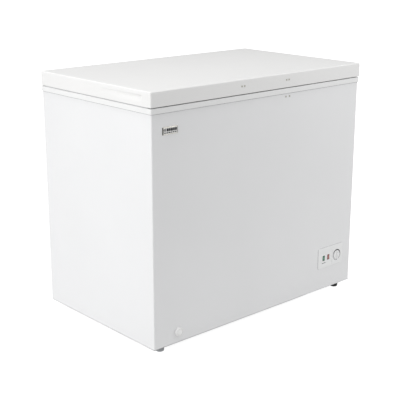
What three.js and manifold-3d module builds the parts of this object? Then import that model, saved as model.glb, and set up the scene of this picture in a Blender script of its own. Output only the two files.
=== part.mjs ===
// A chest freezer: a foamed sheet-steel cabinet round a tub with a step over the compressor,
// and a foamed lid on two sprung hinges.
// Millimetres, +Z up. The origin lies on the floor under the middle of the outline, +X is the
// freezer's right side and -Y its front.
import * as THREE from "three";
import { ConvexGeometry } from "three/addons/geometries/ConvexGeometry.js";
import { mergeVertices } from "three/addons/utils/BufferGeometryUtils.js";
import Module from "manifold-3d";

const wasm = await Module();
wasm.setup();

// ---- Driving dimensions -------------------------------------------------------------------

const GAP = 0.3; // between pieces that touch
const SHEET = 1; // every folded sheet: wrapper, rear panel, liner, lid skin, lid inner panel

const CABINET_WIDTH = 945;
const CABINET_DEPTH = 577;
const CABINET_CORNER = 4;
const CABINET_Y = -5; // the cabinet's middle, ahead of the outline's middle by the hinges' share
const HALF_W = CABINET_WIDTH / 2;
const HALF_D = CABINET_DEPTH / 2;

const FOOT_HEIGHT = 22.7;
const BASE_BOTTOM = 23;
const BASE_THICKNESS = 1.2;
const BASE_TOP = BASE_BOTTOM + BASE_THICKNESS;
const WRAPPER_BOTTOM = BASE_TOP + GAP;
const WRAPPER_TOP = 786.7;

const TRIM_BOTTOM = 772.7;
const TRIM_TOP = 789.5;
const TRIM_OVERHANG = 3.4; // past the cabinet, all round
const LEDGE_WIDTH = 12; // the rebate round the opening that carries the basket
const LEDGE_TOP = 782;
const TRIM_WALL = 2; // inside walls of the trim
const TRIM_DECK = 2.5; // thickness of the trim's flat rims
const OPENING_HALF_W = 407.2;
const OPENING_HALF_D = 221.2;

const TUB_HALF_W = 409.5; // inside faces of the liner
const TUB_HALF_D = 223.5;
const TUB_FLOOR = 89;
const TUB_TOP = 779.2;
const STEP_X = 175; // the step over the compressor runs from here to the right
const STEP_Z = 355;
const BAY_X = 236; // left face of the compressor bay
const BAY_TOP = 295;

const LID_WIDTH = 954;
const LID_DEPTH = 583;
const LID_Y = -1; // the lid's middle, from the cabinet's middle
const LID_BOTTOM = 792.5;
const LID_TOP = 840;
const LID_CORNER = 7.5;
const LID_EDGE = 6.5; // rounding of the lid's top edges

const HINGE_X = 330; // middle of each hinge, left and right
const HINGE_WIDTH = 64;
const PIN_Y = 300; // the hinges' axis
const PIN_Z = 791;

const CONTROL_X = 360.5; // middle of the control fascia
const CONTROL_Z = 142.3;
const DIAL_X = 395;
const DIAL_Z = 139.3;
const BADGE_X = -401.7;
const BADGE_Z = 717.6;
const DRAIN_X = -373;
const DRAIN_Z = 59.8;
const FOOT_X = 425.5;
const FOOT_Y = 258;

const ROUND_SIDES = 16;

// ---- Geometry helpers ---------------------------------------------------------------------

// A three.js geometry as a manifold solid, for joining and cutting.
function solid(geometry) {
  const source = geometry.index ? geometry.toNonIndexed() : geometry;
  const bare = new THREE.BufferGeometry();
  bare.setAttribute("position", source.getAttribute("position"));
  const merged = mergeVertices(bare, 1e-3);
  return new wasm.Manifold(
    new wasm.Mesh({
      numProp: 3,
      vertProperties: new Float32Array(merged.attributes.position.array),
      triVerts: new Uint32Array(merged.index.array),
    }),
  );
}

// A manifold solid as a three.js geometry.
function geometryOf(manifold) {
  const mesh = manifold.getMesh();
  const geometry = new THREE.BufferGeometry();
  geometry.setAttribute("position", new THREE.BufferAttribute(mesh.vertProperties, 3));
  geometry.setIndex(new THREE.BufferAttribute(mesh.triVerts, 1));
  geometry.computeVertexNormals();
  return geometry;
}

const join = (first, ...others) => others.reduce((whole, other) => whole.add(other), first);
const cut = (first, ...others) => others.reduce((whole, other) => whole.subtract(other), first);

// A block between two values on each axis.
function block([x0, x1], [y0, y1], [z0, z1]) {
  const box = new THREE.BoxGeometry(x1 - x0, y1 - y0, z1 - z0);
  return solid(box.translate((x0 + x1) / 2, (y0 + y1) / 2, (z0 + z1) / 2));
}

// A block centred on X and on a given Y.
function slab(halfWidth, halfDepth, heights, centreY = 0) {
  return block([-halfWidth, halfWidth], [centreY - halfDepth, centreY + halfDepth], heights);
}

// A rectangular ring: a slab with a smaller slab cut out of it.
function ring(outer, inner, [z0, z1], centreY = 0) {
  return cut(
    slab(...outer, [z0, z1], centreY),
    slab(...inner, [z0 - SHEET, z1 + SHEET], centreY),
  );
}

// A round bar along one axis, through a point given by its other two coordinates.
function rod(axis, [start, end], radius, [a, b], sides = ROUND_SIDES) {
  const bar = new THREE.CylinderGeometry(radius, radius, end - start, sides);
  bar.translate(0, (start + end) / 2, 0);
  if (axis === "x") bar.rotateZ(-Math.PI / 2).translate(0, a, b);
  if (axis === "y") bar.translate(a, 0, b);
  if (axis === "z") bar.rotateX(Math.PI / 2).translate(a, b, 0);
  return solid(bar);
}

// A turned piece about +Z from its profile of [radius, height], which goes up the outside.
function turned(profile, sides = ROUND_SIDES) {
  const points = profile.map(([radius, height]) => new THREE.Vector2(radius, height));
  return new THREE.LatheGeometry(points, sides).rotateX(Math.PI / 2);
}

function roundedRectangle(width, depth, radius) {
  const x = width / 2 - radius;
  const y = depth / 2 - radius;
  const outline = new THREE.Shape();
  const centres = [[x, y], [-x, y], [-x, -y], [x, -y]];
  centres.forEach(([cx, cy], quarter) => {
    const start = (quarter * Math.PI) / 2;
    outline.absarc(cx, cy, radius, start, start + Math.PI / 2);
  });
  return outline;
}

// A straight-sided slab with rounded corners in plan.
function roundedSlab(width, depth, [z0, z1], radius, centreY = 0) {
  const settings = { depth: z1 - z0, bevelEnabled: false, curveSegments: 3 };
  const slabGeometry = new THREE.ExtrudeGeometry(roundedRectangle(width, depth, radius), settings);
  return solid(slabGeometry.translate(0, centreY, z0));
}

// A slab with rounded corners and rounded top edges, flat underneath.
function domedSlab(width, depth, [z0, z1], corner, edge, centreY) {
  const outline = roundedRectangle(width - 2 * edge, depth - 2 * edge, corner - edge);
  const straight = z1 - z0;
  const geometry = new THREE.ExtrudeGeometry(outline, {
    depth: straight,
    bevelThickness: edge,
    bevelSize: edge,
    bevelSegments: 3,
    curveSegments: 2,
  });
  geometry.translate(0, centreY, z1 - straight - edge);
  const below = slab(width, depth, [z0 - 4 * edge, z0], centreY);
  return cut(solid(geometry), below);
}

// A route of straight runs and bends, with cross-sections only where it turns. Without a bend
// radius it runs straight from point to point.
class BentRoute extends THREE.Curve {
  constructor(corners, bendRadius, bendSteps) {
    super();
    this.points = bendRadius ? [corners[0]] : corners;
    for (let i = 1; bendRadius && i < corners.length - 1; i++) {
      const before = corners[i - 1].clone().sub(corners[i]).setLength(bendRadius);
      const after = corners[i + 1].clone().sub(corners[i]).setLength(bendRadius);
      const bend = new THREE.QuadraticBezierCurve3(
        corners[i].clone().add(before),
        corners[i],
        corners[i].clone().add(after),
      );
      this.points.push(...bend.getPoints(bendSteps));
    }
    if (bendRadius) this.points.push(corners.at(-1));
  }
  getUtoTmapping(u) {
    return u;
  }
  getPoint(t) {
    const place = t * (this.points.length - 1);
    const i = Math.min(Math.floor(place), this.points.length - 2);
    return this.points[i].clone().lerp(this.points[i + 1], place - i);
  }
  getTangent(t) {
    const i = Math.round(t * (this.points.length - 1));
    const way = (from, to) => this.points[to].clone().sub(this.points[from]).normalize();
    const last = this.points.length - 1;
    if (i === 0) return way(0, 1);
    if (i === last) return way(last - 1, last);
    return way(i - 1, i).add(way(i, i + 1)).normalize();
  }
}

// A regular outline of a given number of sides round the origin.
function circle(radius, sides) {
  const corner = (i) => (2 * Math.PI * i) / sides;
  return new THREE.Shape(Array.from({ length: sides }, (_, i) =>
    new THREE.Vector2(radius * Math.cos(corner(i)), radius * Math.sin(corner(i)))));
}

// A tube or rod along [x, y, z] corners; with a bore it is a pipe, open at both ends.
function tube(corners, radius, { sides = 6, bend = 20, bendSteps = 2, bore = 0 } = {}) {
  const path = new BentRoute(corners.map((c) => new THREE.Vector3(...c)), bend, bendSteps);
  const section = circle(radius, sides);
  if (bore) section.holes.push(circle(bore, sides));
  const settings = { steps: path.points.length - 1, extrudePath: path, bevelEnabled: false };
  return new THREE.ExtrudeGeometry(section, settings);
}

// ---- Meshes -------------------------------------------------------------------------------

const FINISHES = {
  whitePaint: { color: 0xf0f0ee, roughness: 0.35, metalness: 0 },
  whitePlastic: { color: 0xededeb, roughness: 0.45, metalness: 0 },
  greyPlastic: { color: 0xa0a3a8, roughness: 0.5, metalness: 0 },
  blackPlastic: { color: 0x1c1c1d, roughness: 0.6, metalness: 0 },
  galvanised: { color: 0xb4b6b5, roughness: 0.4, metalness: 1 },
  aluminium: { color: 0xd5d7d8, roughness: 0.4, metalness: 1 },
  chrome: { color: 0xc9c9c6, roughness: 0.15, metalness: 1 },
  copper: { color: 0xb8714a, roughness: 0.35, metalness: 1 },
  blackPaint: { color: 0x161718, roughness: 0.4, metalness: 0 },
  rubber: { color: 0x6f7072, roughness: 0.8, metalness: 0 },
  foam: { color: 0xe6d9a8, roughness: 0.95, metalness: 0 },
  greenLens: { color: 0x2c7a57, roughness: 0.2, metalness: 0 },
  redLens: { color: 0x9c3d3a, roughness: 0.2, metalness: 0 },
  plugBeige: { color: 0xbebcaf, roughness: 0.55, metalness: 0 },
  coatedWire: { color: 0xf2f2f0, roughness: 0.35, metalness: 0 },
};

const freezer = new THREE.Group();
freezer.position.y = CABINET_Y;

// Adds one named piece to the freezer, from a geometry or a manifold solid.
function piece(name, shape, finish, [x, y, z] = [0, 0, 0]) {
  const geometry = shape.isBufferGeometry ? shape : geometryOf(shape);
  const mesh = new THREE.Mesh(geometry, new THREE.MeshStandardMaterial(FINISHES[finish]));
  mesh.name = name;
  mesh.position.set(x, y, z);
  freezer.add(mesh);
}

// ---- Drain --------------------------------------------------------------------------------

const DRAIN_INLET_Y = -170;
const DRAIN_RADIUS = 9;
const DRAIN_BORE = 7.2;
const DRAIN_CLEARANCE = 0.8; // round the tube, in the foam and the wrapper
const SPOUT_END = -HALF_D - 6;
const DRAIN_SPARE = 5; // the tunnel overshoots the foam by this much, to cut it cleanly

const drainRoute = (top, front) => [
  [DRAIN_X, DRAIN_INLET_Y, top],
  [DRAIN_X, DRAIN_INLET_Y, DRAIN_Z],
  [DRAIN_X, front, DRAIN_Z],
];
const DRAIN_BENDS = { sides: 12, bend: 14, bendSteps: 3 };

function drainTunnel() {
  const route = drainRoute(TUB_FLOOR + DRAIN_SPARE, -HALF_D - DRAIN_SPARE);
  return solid(tube(route, DRAIN_RADIUS + DRAIN_CLEARANCE, DRAIN_BENDS));
}

function makeDrain() {
  const route = drainRoute(TUB_FLOOR - SHEET - GAP, SPOUT_END);
  const pipe = tube(route, DRAIN_RADIUS, { ...DRAIN_BENDS, bore: DRAIN_BORE });
  piece("drain_tube", pipe, "whitePlastic");

  // A cap with a socket that slips over the spout.
  const capRadius = 14.5;
  const socket = DRAIN_RADIUS + 0.5;
  const socketDepth = 6.2;
  const capDepth = 7.7;
  const chamfer = 1.5;
  const profile = [
    [0, socketDepth],
    [socket, socketDepth],
    [socket, 0],
    [capRadius, 0],
    [capRadius, capDepth - chamfer],
    [capRadius - chamfer, capDepth],
    [0, capDepth],
  ];
  const cap = turned(profile, 24).rotateX(Math.PI / 2);
  piece("drain_cap", cap, "whitePlastic", [DRAIN_X, -HALF_D - GAP, DRAIN_Z]);

  // A stopper whose stem closes the drain from inside the tub.
  const stem = 6.2;
  const stemLength = 14;
  const head = 15;
  const headHeight = 3;
  const grip = 3;
  const gripTop = 12;
  const stopper = [
    [0, -stemLength],
    [stem, -stemLength],
    [stem, 0],
    [head, 0],
    [head - 1, headHeight],
    [grip, headHeight + 1],
    [grip + 2, gripTop],
    [0, gripTop],
  ];
  piece("drain_stopper", turned(stopper), "greyPlastic", [
    DRAIN_X, DRAIN_INLET_Y, TUB_FLOOR + GAP,
  ]);
}

// ---- Cabinet ------------------------------------------------------------------------------

const GRILLE_Y = 100; // middle of the side grille of the compressor bay
const GRILLE_Z = 150;
const GRILLE_LENGTH = 220;
const GRILLE_HEIGHT = 150;
const GRILLE_OVERLAP = 8; // of the grille over the edge of its hole
const KEEPER_X = [99.5, 117]; // holes for a lock's keeper, in the front under the trim
const KEEPER_Z = 761.6;
const PLUG_HOLE = 2.4; // radius
const FASCIA_HOLE_X = [306, 415];
const FASCIA_HOLE_HALF_HEIGHT = 29.5;
const REAR_HOLE_FLANGE = 10; // of the rear panel and its cover round the compressor bay
const REAR_HOLE_BOTTOM = 42;

// The middle of a range, with a margin taken off both ends.
const within = (middle, length, margin) => [
  middle - length / 2 + margin,
  middle + length / 2 - margin,
];

function makeWrapper() {
  const heights = [WRAPPER_BOTTOM, WRAPPER_TOP];
  const spare = 10; // rear corners lie past the rear edge, so the sides end square
  const outside = roundedSlab(
    CABINET_WIDTH, CABINET_DEPTH + spare, heights, CABINET_CORNER, spare / 2,
  );
  const inside = roundedSlab(
    CABINET_WIDTH - 2 * SHEET,
    CABINET_DEPTH + 2 * spare - SHEET,
    [heights[0] - 1, heights[1] + 1],
    CABINET_CORNER - SHEET,
    spare + SHEET / 2,
  );
  const behind = block([-HALF_W, HALF_W], [HALF_D, HALF_D + 2 * spare], [0, LID_TOP]);
  const frontWall = [-HALF_D - 2, -HALF_D + 5];
  const fasciaHole = block(FASCIA_HOLE_X, frontWall,
    within(CONTROL_Z, 2 * FASCIA_HOLE_HALF_HEIGHT, 0));
  const keeperHoles = KEEPER_X.map((x) => rod("y", frontWall, PLUG_HOLE, [x, KEEPER_Z], 8));
  const grilleHole = block(
    [HALF_W - 5, HALF_W + 2],
    within(GRILLE_Y, GRILLE_LENGTH, GRILLE_OVERLAP),
    within(GRILLE_Z, GRILLE_HEIGHT, GRILLE_OVERLAP),
  );
  const drainHole = rod("y", frontWall, DRAIN_RADIUS + DRAIN_CLEARANCE, [DRAIN_X, DRAIN_Z], 12);
  const sheet = cut(outside, inside, behind, fasciaHole, grilleHole, drainHole, ...keeperHoles);
  piece("cabinet_wrapper", sheet, "whitePaint");
}

function makeRearAndBase() {
  const rear = cut(
    block(
      [-HALF_W + SHEET + GAP, HALF_W - SHEET - GAP],
      [HALF_D - SHEET, HALF_D],
      [WRAPPER_BOTTOM, TRIM_BOTTOM - GAP],
    ),
    block(
      [BAY_X + REAR_HOLE_FLANGE, HALF_W - REAR_HOLE_FLANGE],
      [HALF_D - 5, HALF_D + 5],
      [REAR_HOLE_BOTTOM, BAY_TOP - REAR_HOLE_FLANGE],
    ),
  );
  piece("rear_panel", rear, "galvanised");

  const baseHeights = [BASE_BOTTOM, BASE_TOP];
  piece(
    "base_pan",
    block([-HALF_W, BAY_X - GAP], [-HALF_D, HALF_D], baseHeights),
    "galvanised",
  );

  // The plate under the compressor is stiffened by two upturned ribs.
  const ribHeight = 10;
  const ribWidth = 1.5;
  const ribHeights = [BASE_BOTTOM, BASE_TOP + ribHeight];
  const rib = (y) => block([BAY_X + 5, HALF_W - 8], [y, y + ribWidth], ribHeights);
  const plate = join(
    block([BAY_X, HALF_W], [-HALF_D, HALF_D], baseHeights),
    rib(-160),
    rib(200),
  );
  piece("compressor_base_plate", plate, "galvanised");

  const bayPanel = cut(
    block(
      [BAY_X - SHEET, HALF_W - SHEET - GAP],
      [-HALF_D + CABINET_CORNER + GAP, HALF_D - SHEET - GAP],
      [WRAPPER_BOTTOM, BAY_TOP + SHEET],
    ),
    block([BAY_X, HALF_W], [-HALF_D, HALF_D], [0, BAY_TOP]),
  );
  piece("compartment_panel", bayPanel, "galvanised");
}

// The L-shaped hollow of the tub, grown outwards by a margin and open upwards.
function tubHollow(margin, top) {
  const depth = TUB_HALF_D + margin;
  const well = block([-TUB_HALF_W - margin, STEP_X + margin], [-depth, depth],
    [TUB_FLOOR - margin, top]);
  const shelf = block([-TUB_HALF_W, TUB_HALF_W + margin], [-depth, depth],
    [STEP_Z - margin, top]);
  return join(well, shelf);
}

const COIL_LEVELS = [410, 740]; // the lowest and highest pass of both coils
const EVAPORATOR_RADIUS = 4;
const EVAPORATOR_OFFSET = SHEET + 4.5; // tube centre, outside the tub's inside faces
const CONDENSER_RADIUS = 2.4;
const CONDENSER_OFFSET = SHEET + 2.8; // tube centre, inside the wrapper's outside faces
const CONDENSER_REAR = 250;
const COIL_ROOM = 18; // above and below the passes

// The slots that the coils lie in, in the foam's inside and outside faces.
function coilSlots() {
  const heights = [COIL_LEVELS[0] - COIL_ROOM, COIL_LEVELS[1] + COIL_ROOM];
  const evaporatorRoom = EVAPORATOR_OFFSET + EVAPORATOR_RADIUS + 0.8;
  const inner = slab(TUB_HALF_W + evaporatorRoom, TUB_HALF_D + evaporatorRoom, heights);
  const slotDepth = CONDENSER_OFFSET + CONDENSER_RADIUS - SHEET + 0.8;
  const outer = cut(
    block([-HALF_W, HALF_W], [-HALF_D, CONDENSER_REAR + COIL_ROOM], heights),
    block(
      [-HALF_W + SHEET + GAP + slotDepth, HALF_W - SHEET - GAP - slotDepth],
      [-HALF_D + SHEET + GAP + slotDepth, HALF_D],
      [0, LID_TOP],
    ),
  );
  return [inner, outer];
}

function makeFoamAndLiner() {
  const side = SHEET + GAP;
  const raw = roundedSlab(CABINET_WIDTH - 2 * side, CABINET_DEPTH - 2 * side,
    [WRAPPER_BOTTOM, WRAPPER_TOP], CABINET_CORNER - side);
  const bay = block(
    [BAY_X - SHEET - GAP, HALF_W],
    [-HALF_D, HALF_D],
    [0, BAY_TOP + SHEET + GAP],
  );
  const ledgeRoom = LEDGE_WIDTH + TRIM_WALL + GAP;
  const underLedge = slab(OPENING_HALF_W + ledgeRoom, OPENING_HALF_D + ledgeRoom,
    [TUB_TOP, LID_TOP]);
  const foam = cut(raw, tubHollow(SHEET + GAP, LID_TOP), bay, underLedge, drainTunnel(),
    ...coilSlots());
  piece("cabinet_foam", foam, "foam");

  const floorHole = rod("z", [TUB_FLOOR - DRAIN_SPARE, TUB_FLOOR + DRAIN_SPARE],
    DRAIN_BORE + GAP, [DRAIN_X, DRAIN_INLET_Y], 12);
  const liner = cut(tubHollow(SHEET, TUB_TOP), tubHollow(0, LID_TOP), floorHole);
  piece("inner_liner", liner, "aluminium");
}

function makeCoils() {
  const [lowest, highest] = COIL_LEVELS;

  // The evaporator winds down round the tub and drops one pitch along the right wall each turn.
  const turns = 6;
  const x = TUB_HALF_W + EVAPORATOR_OFFSET;
  const y = TUB_HALF_D + EVAPORATOR_OFFSET;
  const winding = [];
  for (let turn = 0; turn < turns; turn++) {
    const z = highest - ((highest - lowest) * turn) / (turns - 1);
    winding.push([x, y, z], [-x, y, z], [-x, -y, z], [x, -y, z]);
  }
  piece("evaporator_coil", tube(winding, EVAPORATOR_RADIUS, { bend: 5 }), "copper");

  // The condenser runs to and fro round the left side, the front and the right side.
  const passes = 6;
  const cx = HALF_W - CONDENSER_OFFSET;
  const front = -HALF_D + CONDENSER_OFFSET;
  const snake = [];
  for (let pass = 0; pass < passes; pass++) {
    const z = lowest + ((highest - lowest) * pass) / (passes - 1);
    const right = [[cx, CONDENSER_REAR, z], [cx, front, z]];
    const left = [[-cx, front, z], [-cx, CONDENSER_REAR, z]];
    const level = [...right, ...left];
    snake.push(...(pass % 2 ? level.reverse() : level));
  }
  piece("condenser_coil", tube(snake, CONDENSER_RADIUS, { bend: 6 }), "copper");
}

// A plastic collar that caps the wall: an outer band, a flat rim for the gasket, a rebated
// ledge round the opening and a short leg down over the liner.
function makeTrim() {
  const outer = [HALF_W + TRIM_OVERHANG, HALF_D + TRIM_OVERHANG];
  const opening = [OPENING_HALF_W, OPENING_HALF_D];
  const grown = ([w, d], margin) => [w + margin, d + margin];
  const ledge = grown(opening, LEDGE_WIDTH);
  const legBottom = 765;
  const corner = 5;
  const bandBevel = 2;

  const rounded = roundedSlab(2 * outer[0], 2 * outer[1], [TRIM_BOTTOM, TRIM_TOP], corner);
  const insideBand = slab(HALF_W + GAP, HALF_D + GAP, [0, TRIM_TOP - TRIM_DECK]);
  const band = cut(rounded, insideBand, slab(...ledge, [0, LID_TOP]));
  const riser = ring(grown(ledge, TRIM_WALL), ledge, [LEDGE_TOP - TRIM_DECK, TRIM_TOP]);
  const shelf = ring(grown(ledge, TRIM_WALL), opening, [LEDGE_TOP - TRIM_DECK, LEDGE_TOP]);
  const leg = ring(grown(opening, TRIM_WALL), opening, [legBottom, LEDGE_TOP]);

  // The band's lower edge slopes back to the cabinet.
  const point = (sx, sy, out, z) => new THREE.Vector3(
    sx * (outer[0] + out), sy * (outer[1] + out), z,
  );
  const signs = [[1, 1], [1, -1], [-1, 1], [-1, -1]];
  const keep = solid(new ConvexGeometry(signs.flatMap(([sx, sy]) => [
    point(sx, sy, -bandBevel, TRIM_BOTTOM),
    point(sx, sy, 0, TRIM_BOTTOM + bandBevel),
    point(sx, sy, 0, TRIM_TOP),
  ])));
  piece("top_trim", join(band.intersect(keep), riser, shelf, leg), "whitePlastic");
}

function makeFeet() {
  const radius = 13.5;
  const chamfer = 2.5;
  const straight = [
    [0, 0],
    [radius - chamfer, 0],
    [radius, chamfer],
    [radius, FOOT_HEIGHT],
    [0, FOOT_HEIGHT],
  ];
  const tread = 12.5;
  const collar = 5; // height of the tapered foot's straight top
  const collarRadius = 15.5;
  const tapered = [
    [0, 0],
    [tread, 0],
    [tread + 1, 3],
    [collarRadius, FOOT_HEIGHT - collar],
    [collarRadius, FOOT_HEIGHT],
    [0, FOOT_HEIGHT],
  ];
  for (const [end, y] of [["front", -FOOT_Y], ["rear", FOOT_Y]]) {
    piece(`foot_${end}_left`, turned(straight), "greyPlastic", [-FOOT_X, y, 0]);
    piece(`foot_${end}_right`, turned(tapered), "blackPlastic", [FOOT_X, y, 0]);
  }
}

function makeCovers() {
  // Side grille: a flanged plate with level slots.
  const slots = 9;
  const slotHeight = 7;
  const border = 14; // solid margin round the slots
  const outside = [HALF_W + GAP, HALF_W + GAP + 2];
  const pitch = (GRILLE_HEIGHT - 2 * border) / (slots - 1);
  const grilleSlots = Array.from({ length: slots }, (_, i) => {
    const z = GRILLE_Z - GRILLE_HEIGHT / 2 + border + i * pitch;
    return block([HALF_W - 5, HALF_W + 5], within(GRILLE_Y, GRILLE_LENGTH, border),
      within(z, slotHeight, 0));
  });
  const grille = block(outside, within(GRILLE_Y, GRILLE_LENGTH, 0),
    within(GRILLE_Z, GRILLE_HEIGHT, 0));
  piece("side_grille", cut(grille, ...grilleSlots), "whitePlastic");

  // Rear cover of the compressor bay, with two columns of slots and the cord gland's hole.
  const coverThickness = 1.2;
  const coverEdge = 8; // the cover's overlap on the rear panel
  const coverY = [HALF_D + GAP, HALF_D + GAP + coverThickness];
  const through = [HALF_D - 5, HALF_D + 5];
  const slotLength = 85;
  const slotPitch = 20;
  const rearSlots = [];
  for (const x of [255, 365]) {
    for (let row = 0; row < 7; row++) {
      const z = 140 + row * slotPitch;
      rearSlots.push(block([x, x + slotLength], through, [z, z + slotHeight]));
    }
  }
  const gland = [285, 80];
  const cover = cut(
    block([BAY_X + REAR_HOLE_FLANGE - coverEdge, HALF_W - REAR_HOLE_FLANGE + coverEdge - 2],
      coverY, [REAR_HOLE_BOTTOM - coverEdge, BAY_TOP - REAR_HOLE_FLANGE + coverEdge]),
    rod("y", through, 8, gland, 12),
    ...rearSlots,
  );
  piece("rear_cover", cover, "galvanised");

  // A bushing with a neck in the cover's hole and a flange outside it; the cord's way is open.
  const [bore, neck, flange] = [4, 7.5, 11];
  const neckLength = 9;
  const flangeEnd = neckLength + 4;
  const end = flangeEnd + 3;
  const bushing = [
    [bore, 0], [neck, 0], [neck, neckLength], [flange, neckLength], [flange, flangeEnd],
    [flange - 2, end], [bore, end], [bore, 0],
  ];
  const ready = turned(bushing).rotateX(-Math.PI / 2);
  piece("cord_gland", ready, "blackPlastic", [gland[0], coverY[1] + GAP - neckLength, gland[1]]);
}

// ---- Refrigeration ------------------------------------------------------------------------

function makeCompressor() {
  const [cx, cy] = [350, 60];
  const footZ = 38.8;
  const footThickness = 3;
  const footHole = 4.6; // radius
  const mounts = [[-75, -55], [75, -55], [-75, 55], [75, 55]];
  const widest = 73; // radius at the weld flange
  const shellProfile = [
    [0, 32], [45, 34], [62, 44], [70, 62], [70, 88], [widest, 88], [widest, 92], [70, 92],
    [70, 132], [64, 152], [44, 166], [0, 170],
  ];
  const shell = solid(turned(shellProfile, 20).translate(cx, cy, 0));
  const bar = (y) => block([cx - 90, cx + 90], [cy + y - 14, cy + y + 14],
    [footZ, footZ + footThickness]);
  const bridge = block([cx - 40, cx + 40], [cy - 55, cy + 55], [footZ, footZ + footThickness]);
  const holes = mounts.map(([x, y]) => rod("z", [30, 50], footHole, [cx + x, cy + y], 10));
  piece("compressor", cut(join(shell, bar(-55), bar(55), bridge), ...holes), "blackPaint");

  const grommetTop = footZ - GAP;
  const grommetBottom = BASE_TOP + GAP;
  mounts.forEach(([x, y], i) => {
    const at = [cx + x, cy + y, 0];
    const sleeve = [
      [footHole, grommetBottom],
      [11, grommetBottom],
      [9, (grommetBottom + grommetTop) / 2],
      [11, grommetTop],
      [footHole, grommetTop],
      [footHole, grommetBottom],
    ];
    piece(`compressor_grommet_${i + 1}`, turned(sleeve, 12), "rubber", at);
    const [shank, head] = [4, 6.5];
    const seat = footZ + footThickness + GAP;
    const boltTop = seat + 4;
    const bolt = [
      [0, grommetBottom], [shank, grommetBottom], [shank, seat],
      [head, seat], [head, boltTop], [0, boltTop],
    ];
    piece(`compressor_bolt_${i + 1}`, turned(bolt, 8), "galvanised", at);
  });

  piece(
    "compressor_terminal_cover",
    block([cx - 104, cx - 74], [cy - 25, cy + 25], [75, 130]),
    "blackPlastic",
  );

  const ceiling = BAY_TOP - GAP;
  const shellGap = widest + 0.5;
  const reach = 110; // of both lines from the compressor's middle, before they rise
  const suction = [
    [cx, cy - shellGap, 110], [cx, cy - reach, 110], [cx, cy - reach, ceiling],
  ];
  piece("suction_line", tube(suction, 4, { sides: 8 }), "copper");
  const discharge = [
    [cx, cy + shellGap, 120], [cx, cy + reach, 120], [cx, cy + reach, ceiling],
  ];
  piece("discharge_line", tube(discharge, 3, { sides: 8 }), "copper");

  // The drier hangs from the condenser's return line and feeds the capillary.
  const [dx, dy] = [445, -60];
  const [drierRadius, pipe] = [9, 2.5];
  const [drierBottom, drierTop] = [120, 210];
  const drier = [
    [0, drierBottom], [3, drierBottom], [drierRadius, drierBottom + 10],
    [drierRadius, drierTop - 10], [pipe, drierTop], [pipe, ceiling], [0, ceiling],
  ];
  piece("filter_drier", turned(drier, 10), "copper", [dx, dy, 0]);
  const loopBottom = 90;
  const capillary = [
    [dx, dy, drierBottom - GAP], [dx, dy, loopBottom],
    [dx - 30, dy, loopBottom], [dx - 30, dy, ceiling],
  ];
  piece("capillary_tube", tube(capillary, 1.5, { bend: 12 }), "copper");
}

// ---- Controls, badge and plugs ------------------------------------------------------------

const FRONT = -HALF_D;

function makeControls() {
  const plateFront = FRONT - 2;
  const windowFloor = FRONT - 1.3;
  const lampX = [324.3, 349.6];
  const lampZ = 141;
  const lampSize = [12, 20];
  const skirtDepth = 12.5;
  const skirtWall = 2;

  const settings = { depth: FRONT - GAP - plateFront, bevelEnabled: false, curveSegments: 3 };
  const outline = roundedRectangle(133.5, 77.2, 6);
  const plateGeometry = new THREE.ExtrudeGeometry(outline, settings).rotateX(Math.PI / 2);
  const plate = solid(plateGeometry.translate(CONTROL_X, FRONT - GAP, CONTROL_Z));
  const skirtX = [FASCIA_HOLE_X[0] + 0.5, FASCIA_HOLE_X[1] - 0.5];
  const skirtHeight = 2 * FASCIA_HOLE_HALF_HEIGHT - 1;
  const skirtOuter = block(skirtX, [FRONT - GAP - 0.5, FRONT + skirtDepth],
    within(CONTROL_Z, skirtHeight, 0));
  const skirtInner = block([skirtX[0] + skirtWall, skirtX[1] - skirtWall],
    [FRONT - GAP, FRONT + skirtDepth + 1], within(CONTROL_Z, skirtHeight, skirtWall));
  const lampWindow = block([309, 371], [plateFront - 1, windowFloor], [114, 164]);
  const through = [plateFront - 1, FRONT + 5];
  const lampGap = 0.4;
  const lampHoles = lampX.map((x) =>
    block(within(x, lampSize[0], -lampGap), through, within(lampZ, lampSize[1], -lampGap)));
  const bushHole = rod("y", through, 5.6, [DIAL_X, DIAL_Z], 12);
  piece(
    "control_fascia",
    cut(join(plate, skirtOuter), skirtInner, lampWindow, bushHole, ...lampHoles),
    "whitePlastic",
  );

  [["lamp_green", "greenLens"], ["lamp_red", "redLens"]].forEach(([name, finish], i) => {
    const lens = block(within(lampX[i], lampSize[0], 0), [windowFloor - 0.4, FRONT + 10],
      within(lampZ, lampSize[1], 0));
    piece(name, lens, finish);
  });

  // The thermostat stands behind the fascia; its bush carries the dial's shaft.
  const shaftRadius = 2;
  const bore = shaftRadius + 0.35;
  const bodyFront = FRONT + 22;
  const shaftStart = plateFront - 3.4;
  const shaftEnd = bodyFront + 10;
  const bodySize = [46, 26, 32];
  const body = join(
    block(within(DIAL_X, bodySize[0], 0), [bodyFront, bodyFront + bodySize[1]],
      within(DIAL_Z, bodySize[2], 0)),
    rod("y", [FRONT - 1, bodyFront + 5], 5, [DIAL_X, DIAL_Z], 12),
  );
  const bodyBore = rod("y", [FRONT - 5, shaftEnd + GAP], bore, [DIAL_X, DIAL_Z], 12);
  piece("thermostat_body", cut(body, bodyBore), "galvanised");
  piece(
    "thermostat_shaft",
    rod("y", [shaftStart, shaftEnd], shaftRadius, [DIAL_X, DIAL_Z], 12),
    "galvanised",
  );

  // A low dial with a grip bar across it.
  const dialBack = plateFront - GAP;
  const dialFace = dialBack - 2;
  const barFront = -297;
  const [dialRadius, barWidth, barLength] = [16, 6.4, 28];
  const dial = join(
    rod("y", [dialFace, dialBack], dialRadius, [DIAL_X, DIAL_Z], 24),
    block(within(DIAL_X, barWidth, 0), [barFront, dialFace + 1], within(DIAL_Z, barLength, 0)),
  );
  const socket = rod("y", [shaftStart - GAP, FRONT], bore, [DIAL_X, DIAL_Z], 12);
  piece("thermostat_knob", cut(dial, socket), "whitePlastic");
}

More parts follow.
